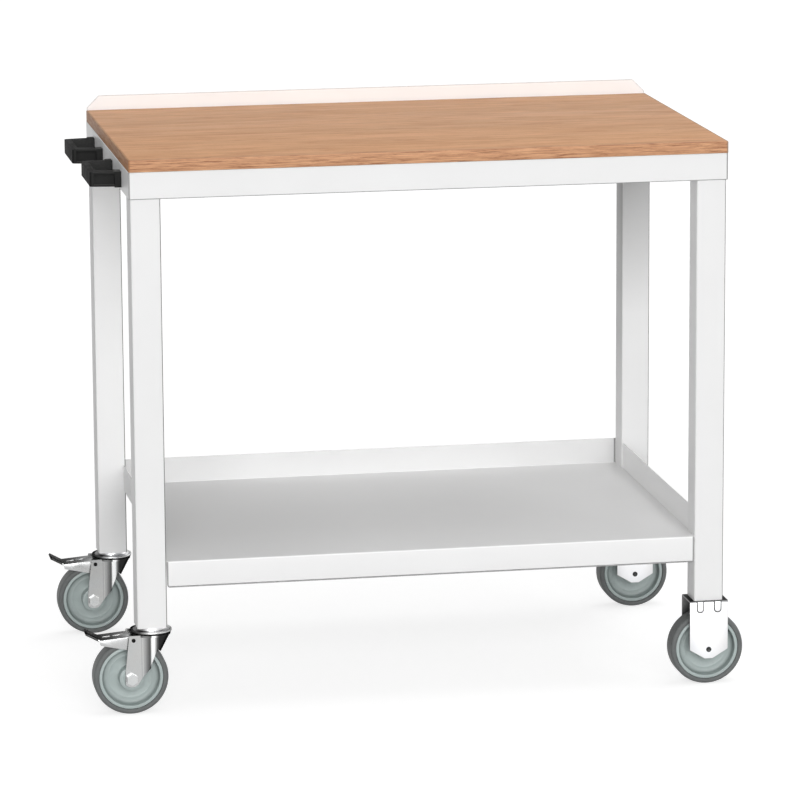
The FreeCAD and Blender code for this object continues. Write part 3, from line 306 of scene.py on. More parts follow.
def make_beech(base):
    """Oiled beech: grain along X, soft bands and short flecks, fibrous long edges, dark end grain, and
    painted shade over the right end.
    """
    g = Finish("oiled_beech", 0.12)
    deep = shade(base, 0.50, 0.34, 0.27)
    reddish = shade(base, 0.74, 0.58, 0.48)
    wander = g.noise((1.6, 7.0, 7.0), 2.0)
    bands = g.noise((1.1, 21.0, 21.0), 3.0, 0.50, 0.5)
    streaks = g.noise((4.2, 120.0, 120.0), 4.0, 0.62, 0.35)
    fibre = g.noise((14.0, 900.0, 900.0), 2.0, 0.6)
    flecks = g.noise((150.0, 1100.0, 1100.0), 0.0)
    scars = g.noise((20.0, 380.0, 380.0), 1.0)
    flames = g.noise((11.0, 62.0, 62.0), 4.0, 0.68, 0.5)
    wood = g.layer(shade(base, 0.94), shade(base, 1.06), wander, 0.36, 0.64)
    for over, value, low, high, least, most in (
        (shade(base, 0.80, 0.72, 0.64), bands, 0.50, 0.66, 0.0, 0.36),
        (reddish, streaks, 0.44, 0.70, 0.0, 0.38),
        (shade(base, 0.66), fibre, 0.35, 0.75, 0.0, 0.20),
        (deep, flecks, 0.64, 0.78, 0.0, 0.34),
        (shade(reddish, 0.98), flames, 0.50, 0.68, 0.0, 0.60),
        (shade(base, 1.16), flames, 0.30, 0.47, 0.55, 0.0),
        (deep, scars, 0.66, 0.80, 0.0, 0.30),
    ):
        wood = g.layer(wood, over, value, low, high, least, most)

    # The front strip and the long edges show torn, reddish fibres; the ends show dark pores.
    long_edge = g.remap(g.size(g.face["Y"]), 0.4, 0.8)
    strip = g.remap(g.size(g.spot["Y"]), 0.276, 0.299, 0.0, 0.70)
    torn = g.noise((17.0, 110.0, 400.0), 4.0, 0.78, 0.5)
    edge = g.layer(shade(base, 1.06, 1.08, 1.20), shade(base, 0.80, 0.76, 0.82), torn, 0.38, 0.50)
    edge = g.layer(edge, shade(base, 0.40, 0.30, 0.31), torn, 0.52, 0.62)
    wood = g.mix(g.most(g.times(long_edge, 0.88), strip), wood, edge)
    pores = g.noise((200.0, 700.0, 700.0), 2.0)
    rings = g.noise((1.0, 22.0, 210.0), 2.0, 0.5, 1.2)
    ends = g.layer(shade(base, 0.62), shade(base, 0.48, 0.37, 0.30), rings, 0.40, 0.62)
    ends = g.layer(ends, shade(base, 0.25), pores, 0.58, 0.72, 0.0, 0.5)
    wood = g.layer(wood, ends, g.size(g.face["X"]), 0.5, 0.8)
    # Near the ends the top takes end-grain colour over the left end, and painted shade over the right end and
    # along its edge.
    end_grain_and_shade = g.layer(ends, (0.33, 0.25, 0.19), g.spot["X"], -0.1, 0.1)
    wood = g.mix(g.times(g.remap(g.size(g.spot["X"]), 0.4966, 0.4978), 0.70), wood, end_grain_and_shade)
    backing = g.mix(streaks, (0.60, 0.58, 0.55), (0.52, 0.50, 0.47))
    wood = g.mix(g.fall(g.face["Z"], -0.8, -0.5), wood, backing)
    gloss = g.remap(g.plus(streaks, g.times(fibre, 0.5)), 0.5, 1.0, 0.44, 0.58)
    return g.close(wood, gloss, g.plus(fibre, g.times(streaks, 0.8)), 0.00012, 0.35)


def rail_shade_lines(g):
    """Thin painted shade lines: under the rails' lower folds, in the gaps at their mitres, and round the
    upstand's top.
    """
    low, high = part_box("front_rail")
    board_low, board_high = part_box("upstand")
    sideways = g.size(g.spot["X"])
    fold = g.near(g.spot["Z"], low.z, 0.0017)
    mitre = g.times(g.near(sideways, high.x - 0.0010, 0.0015), g.remap(g.size(g.face["Y"]), 0.5, 0.7))
    top = g.near(g.spot["Z"], board_high.z, 0.0016)
    slope = g.near(g.plus(sideways, g.spot["Z"]), board_high.x + board_high.z - UPSTAND_CUT, 0.0022)
    behind = g.remap(g.spot["Y"], board_low.y - 0.001, board_low.y)
    return g.most(fold, mitre, g.times(g.most(top, slope), behind, 0.40))


def leg_shade_lines(g):
    """A painted shade line down each leg's front right corner."""
    return g.times(g.remap(g.face["X"], 0.30, 0.55), g.fall(g.face["Y"], -0.30, -0.10), 1.25)


def tray_shade_lines(g):
    """Painted shade lines under the tray's flange and in the gaps at its ends."""
    under = g.near(g.spot["Z"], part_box("shelf")[0].z, 0.0018)
    ends = g.near(g.size(g.spot["X"]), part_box("leg_front_right")[0].x, 0.0038)
    return g.most(under, g.times(ends, g.fall(g.face["Y"], -0.7, -0.5)))


def leg_painted_light(g):
    """Painted light and shade on the legs' coat: outer sides of the left legs a little darker, a painted
    shadow at the top of the rear right leg, painted light on the rear left leg's front and the front right
    leg's inner side.
    """
    side = g.fall(g.face["X"], -0.9, -0.7)
    front = g.fall(g.face["Y"], -0.9, -0.7)
    rear = g.remap(g.spot["Y"], 0.20, 0.24)
    right = g.remap(g.spot["X"], 0.40, 0.44)
    rear_right = g.times(rear, right)
    dim = g.plus(
        g.times(side, g.remap(g.spot["X"], -0.44, -0.40, 0.20, 0.0)),
        g.times(rear_right, g.times(side, g.remap(g.spot["Z"], 0.40, 0.86, 0.0, 0.70))),
        g.times(rear_right, g.times(front, g.remap(g.spot["Z"], 0.54, 0.80, 0.0, 0.38))),
    )
    light = g.plus(
        g.times(rear, g.fall(g.spot["X"], -0.44, -0.40), front, 0.13),
        g.times(g.less(right, rear_right), side, 0.11),
    )
    return g.plus(g.less(1.0, dim), light)


def tray_painted_light(g):
    """Painted light and shade on the tray's coat: darker to the left of its floor and on the rear lip,
    lighter on the right lip.
    """
    dim = g.plus(
        g.times(g.remap(g.face["Z"], 0.9, 0.97), g.remap(g.spot["X"], -0.42, -0.08, 0.18, 0.0)),
        g.times(g.fall(g.face["Y"], -0.9, -0.7), g.remap(g.spot["Y"], 0.20, 0.24), 0.09),
    )
    lip = g.times(g.fall(g.face["X"], -0.9, -0.7), g.remap(g.spot["X"], 0.40, 0.44), 0.15)
    return g.plus(g.less(1.0, dim), lip)


def make_powder_coat(name, base, shade_lines=None, painted_light=None):
    """White powder coat: orange peel, faint clouding, a few specks of dust, a painted highlight on faces that
    slope up and forward, and any painted light, shade and shade lines passed in.
    """
    g = Finish(name, 0.30)
    cloud = g.noise(7.0, 3.0)
    peel = g.noise(520.0, 2.0, 0.45)
    grit = g.noise(1700.0, 1.0)
    paint = g.layer(shade(base, 0.985), shade(base, 1.01), cloud, 0.3, 0.7)
    paint = g.layer(paint, shade(base, 0.80), grit, 0.74, 0.84, 0.0, 0.25)
    # Painted highlight: faces that slope up and forward, as on rounded folds, turn near white.
    fold_highlight = g.times(g.remap(g.face["Z"], 0.2, 0.4), g.fall(g.face["Z"], 0.85, 0.97))
    paint = g.mix(g.times(fold_highlight, g.fall(g.face["Y"], -0.35, -0.15)), paint, grey(0.98))
    # Painted light and shade from the piece's own function.
    if painted_light:
        paint = g.dim(paint, painted_light(g))
    # Painted shade lines, mixed towards a dark grey.
    if shade_lines:
        paint = g.mix(g.times(shade_lines(g), 0.72), paint, shade(base, 0.12))
    return g.close(paint, g.remap(cloud, 0.3, 0.7, 0.34, 0.44), peel, 0.00010, 0.30)


def make_handle_plastic(base):
    """Black moulded plastic with a fine spark-eroded grain, dimmed or lightened per face by stored painted
    light and shade.
    """
    g = Finish("moulded_plastic", 0.05)
    grain = g.noise(1500.0, 3.0, 0.6)
    cloud = g.noise(40.0, 2.0)
    # The stored number dims or lightens each face: painted light and shade.
    tint = g.dim(g.layer(shade(base, 0.85), shade(base, 1.35), grain, 0.35, 0.7), g.stored("wear"))
    return g.close(tint, g.remap(cloud, 0.3, 0.7, 0.60, 0.72), grain, 0.00015, 0.5)


def make_tyre_rubber(base):
    """Grey rubber: fine moulding grain, light scuffs and a trace of dust."""
    g = Finish("tyre_rubber", 0.4)
    grain = g.noise(900.0, 3.0, 0.6)
    scuff = g.noise(65.0, 4.0, 0.65, 0.5)
    tint = g.layer(shade(base, 0.90), shade(base, 1.18), scuff, 0.35, 0.75)
    tint = g.layer(tint, shade(base, 1.7), grain, 0.62, 0.80, 0.0, 0.35)
    return g.close(tint, g.remap(scuff, 0.3, 0.75, 0.50, 0.68), grain, 0.00012, 0.45)


def make_core_plastic(base):
    """Grey-green wheel core plastic with faint flow marks, and painted shade in the corner under the rim."""
    g = Finish("wheel_core_plastic")
    flow = g.noise(30.0, 3.0, 0.5, 2.0)
    grain = g.noise(1100.0, 2.0)
    tint = g.layer(shade(base, 0.95), shade(base, 1.05), flow, 0.3, 0.7)
    # Painted shade: the core darkens towards the corner under its rim; the rim's edge is a touch lighter.
    reach = g.remap(g.stored("axle_distance"), 0.036, 0.0484)
    tint = g.dim(tint, g.curve(reach, ((0.0, 1.0), (0.45, 0.90), (0.86, 0.60), (0.93, 0.70), (1.0, 1.06))))
    return g.close(tint, g.remap(flow, 0.3, 0.7, 0.34, 0.46), grain, 0.00006, 0.4)


def fork_painted_light(g):
    """Painted reflections and shade on a pressed fork: even cheeks with two painted fold lines, bright and
    dark streaks round the nose, and dark faces inside and on top.
    """
    streaks = g.curve(g.remap(g.spot["X"], *FORK_NOSE), (
        (0.0, 0.66), (0.04, 0.56), (0.12, 0.34), (0.20, 0.17), (0.235, 0.24), (0.262, 1.30), (0.285, 1.66),
        (0.375, 1.66), (0.41, 0.90), (0.47, 0.20), (0.54, 0.05), (0.92, 0.035), (1.0, 0.10),
    ))
    cheek = g.mix(g.fall(g.spot["X"], -0.4885, -0.4878), streaks, (0.765, 0.765, 0.76))
    lines = g.most(*(g.near(g.spot["X"], place, 0.0008, 0.5) for place in CHEEK_FOLDS))
    flat = g.remap(g.size(g.face["Y"]), 0.97, 0.995)
    cheek = g.mix(g.times(lines, flat), cheek, grey(0.62))
    inside = g.less(g.fall(g.face["X"], -0.6, -0.2), g.fall(g.face["X"], -0.995, -0.985))
    return g.layer(g.mix(inside, cheek, grey(0.12)), grey(0.10), g.face["Z"], 0.5, 0.8)


def lever_painted_light(g):
    """Painted reflections on a brake lever: even sides, a back painted darker towards its tip, and a treadle
    painted dark.
    """
    back = g.curve(g.remap(g.spot["X"], *LEVER_BACK), ((0.0, 0.14), (0.40, 0.32), (1.0, 1.15)))
    whole = g.layer(grey(0.86), back, g.face["Z"], 0.35, 0.7)
    return g.mix(g.fall(g.spot["X"], -0.5632, -0.5626), whole, grey(0.055))


def bolt_painted_light(g):
    """Painted shade on an axle bolt: its hexagon's facet towards the treadle is painted dark."""
    return g.mix(g.fall(g.face["X"], -0.95, -0.80), (0.92, 0.92, 0.91), grey(0.04))


def ring_painted_light(g):
    """Painted reflections on a dust ring: dark towards the treadle, bright towards the nose above a dark
    foot.
    """
    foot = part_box("front_left_swivel_head")[0].z
    along = g.remap(g.spot["X"], *RING_TURN)
    lip = g.curve(along, ((0.0, 0.08), (0.35, 0.14), (0.72, 1.3), (1.0, 1.3)))
    side = g.curve(along, ((0.0, 0.09), (0.35, 0.10), (0.60, 0.70), (1.0, 1.0)))
    side = g.layer(grey(0.09), side, g.spot["Z"], foot + 0.0013, foot + 0.0019)
    return g.layer(side, lip, g.face["Z"], 0.55, 0.85)


def bracket_painted_light(g):
    """Painted reflections on a pressed bracket: bright cheeks, grey bends and rims, and a dark top."""
    sides = g.curve(g.size(g.face["Y"]), ((0.0, 0.42), (0.30, 0.30), (0.90, 0.35), (0.985, 1.0)))
    return g.layer(sides, grey(0.07), g.face["Z"], 0.6, 0.9)


def plate_painted_light(g):
    """Painted reflections on a swivel head's plate: dark on the treadle's side, bright towards the nose."""
    along = g.remap(g.spot["X"], *PLATE_TURN)
    return g.curve(along, ((0.0, 0.06), (0.30, 0.10), (0.62, 0.60), (0.80, 1.0), (1.0, 0.9)))


def make_plated(name, base, smooth, rough, painted_light=None, rim=1.0):
    """Plated steel: cloudy gloss, fine drawn marks and a slight cast; rim dims glancing gloss; an optional
    function paints reflections and shade into the colour.
    """
    g = Finish(name)
    g.set("Metallic", 1.0)
    g.set("Specular Tint", (rim, rim, rim, 1.0))
    cloud = g.noise(55.0, 3.0, 0.55)
    drawn = g.noise((240.0, 240.0, 2600.0), 2.0)
    cast = g.noise(24.0, 2.0)
    tint = g.layer(shade(base, 0.99, 1.0, 1.01), shade(base, 1.01, 1.0, 0.99), cast, 0.35, 0.65)
    tint = g.layer(tint, shade(base, 0.90), cloud, 0.35, 0.7, 0.0, 0.25)
    # Painted reflections and shade from the piece's own function.
    if painted_light:
        tint = g.dim(tint, painted_light(g))
    return g.close(tint, g.remap(cloud, 0.3, 0.7, smooth, rough), drawn, 0.00003, 0.35)


MATERIALS = {}
TREES = {}


def make_materials(finish):
    """Every finish of the table, by its slot's name."""
    MATERIALS.update(
        beech=make_beech(finish.beech),
        white_paint=make_powder_coat("white_powder_coat", finish.paint),
        leg_paint=make_powder_coat("white_leg_coat", finish.paint, leg_shade_lines, leg_painted_light),
        rail_paint=make_powder_coat("white_rail_coat", finish.paint, rail_shade_lines),
        # The upstand's coat is the white coat made lighter: painted light.
        upstand_paint=make_powder_coat("white_upstand_coat", shade(finish.paint, 1.08), rail_shade_lines),
        tray_paint=make_powder_coat("white_tray_coat", finish.paint, tray_shade_lines, tray_painted_light),
        black_plastic=make_handle_plastic(finish.plastic),
        grey_tyre=make_tyre_rubber(finish.tyre),
        grey_core=make_core_plastic(finish.core),
        zinc=make_plated("bright_zinc", finish.zinc, 0.22, 0.32),
        # The fork, bolt, ring, plate, lever and bracket zinc carry painted reflections and shade.
        fork_zinc=make_plated("polished_fork_zinc", finish.zinc, 0.20, 0.28, fork_painted_light, 0.30),
        bolt_zinc=make_plated("bolt_zinc", finish.zinc, 0.22, 0.32, bolt_painted_light),
        ring_zinc=make_plated("rolled_ring_zinc", finish.zinc, 0.22, 0.30, ring_painted_light, 0.30),
        plate_zinc=make_plated("bright_plate_zinc", finish.bracket, 0.30, 0.40, plate_painted_light),
        # Dark zinc paints shade and dark reflections: treadle ribs, rims round the bracket ribs and the
        # rivets.
        dark_zinc=make_plated("burnished_zinc", shade(finish.zinc, 0.08), 0.25, 0.35, rim=0.30),
        lever_zinc=make_plated("polished_lever_zinc", finish.zinc, 0.22, 0.32, lever_painted_light, 0.30),
        bracket_zinc=make_plated("pale_zinc", finish.bracket, 0.34, 0.46, bracket_painted_light, 0.40),
        pale_strip=make_plated("bright_spring_strip", shade(finish.bracket, 0.95), 0.40, 0.50),
        pin_zinc=make_plated("blackened_pin", shade(finish.zinc, 0.02), 0.30, 0.40, rim=0.30),
        # Dark zinc for painted shade on the bracket's inner sides.
        dull_zinc=make_plated("dull_zinc", shade(finish.bracket, 0.20), 0.36, 0.50),
        steel=make_plated("turned_steel", finish.steel, 0.26, 0.42),
    )


# ---------------------------------------------------------------- meshes


def add_object(name, data):
    piece = bpy.data.objects.new(name, data)
    bpy.context.scene.collection.objects.link(piece)
    return piece


@contextmanager
def editing(piece):
    """A piece's mesh, open for editing and written back afterwards."""
    shape = bmesh.new()
    shape.from_mesh(piece.data)
    yield shape
    shape.to_mesh(piece.data)
    shape.free()


def face_outwards(piece):
    """Merge a closed shape's doubled points and turn its faces outwards."""
    with editing(piece) as shape:
        bmesh.ops.remove_doubles(shape, verts=shape.verts, dist=1e-7)
        bmesh.ops.recalc_face_normals(shape, faces=shape.faces)


def new_piece(name, vertices, faces):
    """A mesh object with its faces pointing outwards."""
    mesh = bpy.data.meshes.new(name)
    mesh.from_pydata([tuple(vertex) for vertex in vertices], [], faces)
    piece = add_object(name, mesh)
    face_outwards(piece)
    return piece


def node_copy(name, source):
    """A merged copy of a CAD node's mesh, its flat areas joined into single faces."""
    mesh = NODES[source].data.copy()
    mesh.materials.clear()
    mesh.name = name
    piece = add_object(name, mesh)
    with editing(piece) as shape:
        bmesh.ops.remove_doubles(shape, verts=shape.verts, dist=1e-6)
        bmesh.ops.dissolve_limit(
            shape, angle_limit=math.radians(0.6), use_dissolve_boundaries=False,
            verts=shape.verts, edges=shape.edges,
        )
    if mesh.has_custom_normals:
        mesh.attributes.remove(mesh.attributes["custom_normal"])
    return piece


def settle(piece):
    """Turn a piece and its modifiers into one plain mesh."""
    bpy.context.view_layer.update()
    evaluated = piece.evaluated_get(bpy.context.evaluated_depsgraph_get())
    mesh = bpy.data.meshes.new_from_object(evaluated)
    piece.modifiers.clear()
    old = piece.data
    piece.data = mesh
    bpy.data.meshes.remove(old)
    mesh.name = piece.name


def soften(piece, width, segments=2, angle=30.0):
    """Round a piece's sharp edges."""
    bevel = piece.modifiers.new("Edges", "BEVEL")
    bevel.width = width
    bevel.segments = segments
    bevel.limit_method = "ANGLE"
    bevel.angle_limit = math.radians(angle)
    bevel.miter_outer = "MITER_ARC"
    bevel.use_clamp_overlap = True
    bevel.loop_slide = False
    settle(piece)


def finish_piece(piece, body, slot, nodes, material=None, smooth=35.0):
    """Give a piece its finish, smooth its curves, tie it to its body, and hide the CAD nodes it takes the
    place of.
    """
    mesh = piece.data
    mesh.materials.clear()
    mesh.materials.append(MATERIALS[material or slot])
    mesh.polygons.foreach_set("use_smooth", [True] * len(mesh.polygons))
    mesh.polygons.foreach_set("material_index", [0] * len(mesh.polygons))
    mesh.set_sharp_from_angle(angle=math.radians(smooth))
    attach(piece, body)
    if nodes:
        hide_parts(*nodes)


def dress_node(name, material):
    """Give a CAD node that stays its finish."""
    for slot in NODES[name].material_slots:
        slot.link = "OBJECT"
        slot.material = MATERIALS[material]


def fold(path, bend, steps=4):
    """A 2-D path with its corners rounded, as points with their directions."""
    path = [np.array(point, float) for point in path]
    ways = [(b - a) / np.linalg.norm(b - a) for a, b in zip(path, path[1:])]
    points = [(path[0], ways[0])]
    for corner, before, after in zip(path[1:-1], ways, ways[1:]):
        turn = math.atan2(before[0] * after[1] - before[1] * after[0], before @ after)
        reach = bend * math.tan(abs(turn) / 2)
        side = np.array((-before[1], before[0])) * math.copysign(bend, turn)
        start = corner - before * reach
        for step in range(steps + 1):
            angle = turn * step / steps
            spin = np.array(((math.cos(angle), -math.sin(angle)), (math.sin(angle), math.cos(angle))))
            points.append((start + side - spin @ side, spin @ before))
    points.append((path[-1], ways[-1]))
    return points


def sheet_section(path, sheet, bend):
    """Closed outline of a folded sheet that follows a 2-D path through its middle."""
    sides = [[], []]
    for point, way in fold(path, bend):
        across = np.array((-way[1], way[0])) * sheet / 2
        sides[0].append(point + across)
        sides[1].append(point - across)
    return sides[0] + sides[1][::-1]


def sweep(name, section, axis, ends):
    """A closed 2-D outline run straight along an axis; ends gives each point's start and end."""
    across = [other for other in range(3) if other != axis]
    vertices = []
    for side in (0, 1):
        for point in section:
            corner = [0.0, 0.0, 0.0]
            corner[across[0]], corner[across[1]] = point
            corner[axis] = ends(point)[side]
            vertices.append(corner)
    count = len(section)
    faces = [(i, (i + 1) % count, count + (i + 1) % count, count + i) for i in range(count)]
    for start in (0, count):
        for i in range(count // 2 - 1):
            faces.append(tuple(start + v for v in (i, i + 1, count - 2 - i, count - 1 - i)))
    return new_piece(name, vertices, faces)


def join(name, pieces):
    """Several pieces as one."""
    whole = add_object(name, bpy.data.meshes.new(name))
    with editing(whole) as shape:
        for piece in pieces:
            shape.from_mesh(piece.data)
            bpy.data.objects.remove(piece)
    return whole


def arc(centre, radius, start, end, steps):
    """Points of an arc between two angles in degrees."""
    points = []
    for step in range(steps + 1):
        angle = math.radians(start + (end - start) * step / steps)
        points.append((centre[0] + radius * math.cos(angle), centre[1] + radius * math.sin(angle)))
    return points


def slab(name, low, high):
    """A box between two corners."""
    x, y, z = zip(low, high)
    vertices = [(x[i], y[j], z[k]) for i in (0, 1) for j in (0, 1) for k in (0, 1)]
    faces = [(0, 1, 3, 2), (4, 5, 7, 6), (0, 1, 5, 4), (2, 3, 7, 6), (0, 2, 6, 4), (1, 3, 7, 5)]
    return new_piece(name, vertices, faces)


# ---------------------------------------------------------------- geometry nodes


SOCKETS = {int: "NodeSocketInt", float: "NodeSocketFloat", tuple: "NodeSocketVector"}


class Shape(Graph):
    """A geometry tree with named inputs that makes finished pieces."""

    def __init__(self, name, inputs):
        super().__init__(bpy.data.node_groups.new(name, "GeometryNodeTree"))
        sockets = self.tree.interface
        sockets.new_socket("Geometry", in_out="INPUT", socket_type="NodeSocketGeometry")
        for title, default in inputs.items():
            item = sockets.new_socket(title, in_out="INPUT", socket_type=SOCKETS[type(default)])
            item.default_value = default
        sockets.new_socket("Geometry", in_out="OUTPUT", socket_type="NodeSocketGeometry")
        self.given = self.add("NodeGroupInput")

    def cylinder(self, vertices, radius, depth):
        return self.add("GeometryNodeMeshCylinder", {"Vertices": vertices, "Radius": radius, "Depth": depth})

    def extrude(self, mesh, faces, offset):
        return self.add("GeometryNodeExtrudeMesh", {"Mesh": mesh, "Selection": faces, "Offset Scale": offset})

    def shrink(self, step, scale):
        """An extrusion with its top face scaled about its middle."""
        inputs = {"Geometry": step["Mesh"], "Selection": step["Top"], "Scale": scale}
        return self.add("GeometryNodeScaleElements", inputs)["Geometry"]

    def move(self, geometry, **how):
        return self.add("GeometryNodeTransform", {"Geometry": geometry, **how})["Geometry"]

    def copies(self, points, instance, **how):
        inputs = {"Points": points, "Instance": instance, **how}
        return self.add("GeometryNodeInstanceOnPoints", inputs)["Instances"]

    def position(self):
        return self.add("GeometryNodeInputPosition")["Position"]

    def place_at(self, geometry, faces, position):
        inputs = {"Geometry": geometry, "Selection": faces, "Position": position}
        return self.add("GeometryNodeSetPosition", inputs)["Geometry"]

    def turn_to(self, vector):
        """The rotation that turns +Z to a vector."""
        return self.add("FunctionNodeAlignRotationToVector", {"Vector": vector}, axis="Z")["Rotation"]

    def close(self, geometry, material):
        """End the tree with plain, smooth geometry in its finish, and return the shape."""
        real = self.add("GeometryNodeRealizeInstances", {"Geometry": geometry})["Geometry"]
        smooth = self.add("GeometryNodeSetShadeSmooth", {"Geometry": real})["Geometry"]
        finish = {"Geometry": smooth, "Material": MATERIALS[material]}
        self.add("NodeGroupOutput", {"Geometry": self.add("GeometryNodeSetMaterial", finish)["Geometry"]})
        return self

    def run(self, name, values, points=()):
        """A plain mesh made by the tree from loose points and named values."""
        mesh = bpy.data.meshes.new(name)
        mesh.from_pydata([tuple(point) for point in points], [], [])
        piece = add_object(name, mesh)
        modifier = piece.modifiers.new("Shape", "NODES")
        modifier.node_group = self.tree
        inputs = [item for item in self.tree.interface.items_tree if item.in_out == "INPUT"]
        sockets = {item.name: item.identifier for item in inputs}
        for title, value in values.items():
            modifier[sockets[title]] = value
        settle(piece)
        if not piece.data.polygons:
            raise RuntimeError(f"{name} came out empty")
        return piece


def screw_shape():
    """Screws on points: a domed head with a star socket, and a shank on the other side."""
    g = Shape("Star screws", {
        "Head radius": 0.005, "Head height": 0.003, "Shank radius": 0.003, "Shank length": 0.010,
        "Direction": (0.0, 0.0, 1.0),
    })
    height = g.given["Head height"]
    rim = g.times(height, 0.55)
    head = g.cylinder(24, g.given["Head radius"], rim)
    step = g.extrude(head["Mesh"], head["Top"], g.times(height, 0.45))
    step = g.extrude(g.shrink(step, 0.74), step["Top"], 0.0)
    place = g.position()
    angle = g.maths("ARCTAN2", g.parts(place)["Y"], g.parts(place)["X"])
    swell = g.plus(g.times(g.maths("COSINE", g.times(angle, 6.0)), 0.13), 1.0)
    spread = g.vector(X=swell, Y=swell, Z=1.0)
    star = g.add("ShaderNodeVectorMath", {0: place, 1: spread}, operation="MULTIPLY")["Vector"]
    socket = g.place_at(g.shrink(step, 0.55), step["Top"], star)
    step = g.extrude(socket, step["Top"], g.times(height, -0.60))
    head_up = g.move(g.shrink(step, 0.96), Translation=g.vector(Z=g.times(rim, 0.5)))
    shank = g.cylinder(16, g.given["Shank radius"], g.given["Shank length"])["Mesh"]
    shank_down = g.move(shank, Translation=g.vector(Z=g.times(g.given["Shank length"], -0.5)))
    whole = g.tree.nodes.new("GeometryNodeJoinGeometry")
    for part in (head_up, shank_down):
        g.tree.links.new(part, whole.inputs["Geometry"])
    turn = g.turn_to(g.given["Direction"])
    return g.close(g.copies(g.given["Geometry"], whole.outputs["Geometry"], Rotation=turn), "steel")


def turning_shape():
    """Turned pieces: the input's points hold a closed outline as radius and height."""
    g = Shape("Turned outline", {"Steps": 96, "Centre": (0.0, 0.0, 0.0), "Axis": (0.0, 0.0, 1.0)})
    outline, steps = g.given["Geometry"], g.given["Steps"]
    count = g.add("GeometryNodeAttributeDomainSize", {"Geometry": outline})["Point Count"]
    rows = g.plus(count, 1.0)
    cells = {"Size X": 1.0, "Size Y": 1.0, "Vertices X": g.plus(steps, 1.0), "Vertices Y": rows}
    grid = g.add("GeometryNodeMeshGrid", cells)["Mesh"]
    index = g.add("GeometryNodeInputIndex")["Index"]
    step = g.maths("FLOOR", g.maths("DIVIDE", g.plus(index, 0.5), rows))
    row = g.maths("MODULO", g.less(index, g.times(step, rows)), count)
    picked = g.add(
        "GeometryNodeSampleIndex", {"Geometry": outline, "Value": g.position(), "Index": row},
        data_type="FLOAT_VECTOR", domain="POINT",
    )["Value"]
    radius, height = g.parts(picked)["X"], g.parts(picked)["Y"]
    angle = g.times(g.maths("DIVIDE", step, steps), 2 * math.pi)
    spot = g.vector(
        X=g.times(radius, g.maths("COSINE", angle)), Y=g.times(radius, g.maths("SINE", angle)), Z=height
    )
    turned = g.place_at(grid, True, spot)
    closed = g.add("GeometryNodeMergeByDistance", {"Geometry": turned, "Distance": 1e-6})["Geometry"]
    turn = g.turn_to(g.given["Axis"])
    return g.close(g.move(closed, Rotation=turn, Translation=g.given["Centre"]), "steel")


def lathe(name, profile, centre, axis, steps=96):
    """A closed (radius, height) profile turned about an axis through the centre."""
    if "turning" not in TREES:
        TREES["turning"] = turning_shape()
    values = {"Steps": steps, "Centre": centre, "Axis": axis}
    piece = TREES["turning"].run(name, values, [(radius, height, 0.0) for radius, height in profile])
    face_outwards(piece)
    return piece


def ball_shape():
    """Balls on a level circle."""
    g = Shape("Ball race", {
        "Count": 20, "Circle radius": 0.027, "Ball radius": 0.0025, "Centre": (0.0, 0.0, 0.0),
    })
    size = {"Vertices": g.given["Count"], "Radius": g.given["Circle radius"]}
    circle = g.add("GeometryNodeMeshCircle", size)["Mesh"]
    ball = g.add("GeometryNodeMeshIcoSphere", {"Radius": g.given["Ball radius"], "Subdivisions": 3})["Mesh"]
    return g.close(g.copies(g.move(circle, Translation=g.given["Centre"]), ball), "steel")


def tread_shape():
    """Round ribs across a treadle, one step apart."""
    g = Shape("Treadle ribs", {
        "Count": 6, "Start": (0.0, 0.0, 0.0), "Step": (-0.003, 0.0, 0.002),
        "Width": 0.0385, "Thickness": 0.0016,
    })
    line = {"Count": g.given["Count"], "Start Location": g.given["Start"], "Offset": g.given["Step"]}
    row = g.add("GeometryNodeMeshLine", line, mode="OFFSET")["Mesh"]
    rib = g.cylinder(10, g.times(g.given["Thickness"], 0.5), g.given["Width"])["Mesh"]
    return g.close(g.copies(row, g.move(rib, Rotation=(math.pi / 2, 0.0, 0.0))), "dark_zinc")


def rib_shape():
    """Ribs pressed out of a cheek towards -Y, rounded at their lower ends, one on each point."""
    g = Shape("Pressed ribs", {"Width": 0.0115, "Length": 0.0170, "Round": 0.0048, "Rise": 0.0010})
    size = {"Width": g.given["Width"], "Height": g.given["Length"]}
    outline = g.add("GeometryNodeCurvePrimitiveQuadrilateral", size, mode="RECTANGLE")["Curve"]
    lower = g.maths("LESS_THAN", g.parts(g.position())["Y"], 0.0)
    radius = g.plus(g.times(lower, g.given["Round"]), 0.0003)
    corners = {"Curve": outline, "Radius": radius, "Count": 6, "Limit Radius": True}
    rounded = g.add("GeometryNodeFilletCurve", corners, mode="POLY")["Curve"]
    flat = g.add("GeometryNodeFillCurve", {"Curve": rounded}, mode="NGONS")["Mesh"]
    step = g.extrude(flat, True, g.times(g.given["Rise"], 0.75))
    step = g.extrude(g.shrink(step, 0.90), step["Top"], g.times(g.given["Rise"], 0.25))
    upright = (math.pi / 2, 0.0, 0.0)
    return g.close(g.copies(g.given["Geometry"], g.shrink(step, 0.93), Rotation=upright), "bracket_zinc")


# ---------------------------------------------------------------- operators


def middle_of(name):
    """The middle of a CAD node's box."""
    low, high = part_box(name)
    return (low + high) / 2


class TableOperator:
    """What the operators share."""

    bl_options = {"REGISTER", "UNDO"}

    @property
    def sizes(self):
        return bpy.context.scene.table_sizes


class TABLE_OT_worktop(TableOperator, bpy.types.Operator):
    """Beech worktop with eased edges"""

    bl_idname = "table.worktop"
    bl_label = "Worktop"

    def execute(self, context):
        piece = slab("beech_worktop", *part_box("worktop"))
        soften(piece, self.sizes.top_round, 3)
        finish_piece(piece, "table", "beech", ["worktop"])
        return {"FINISHED"}


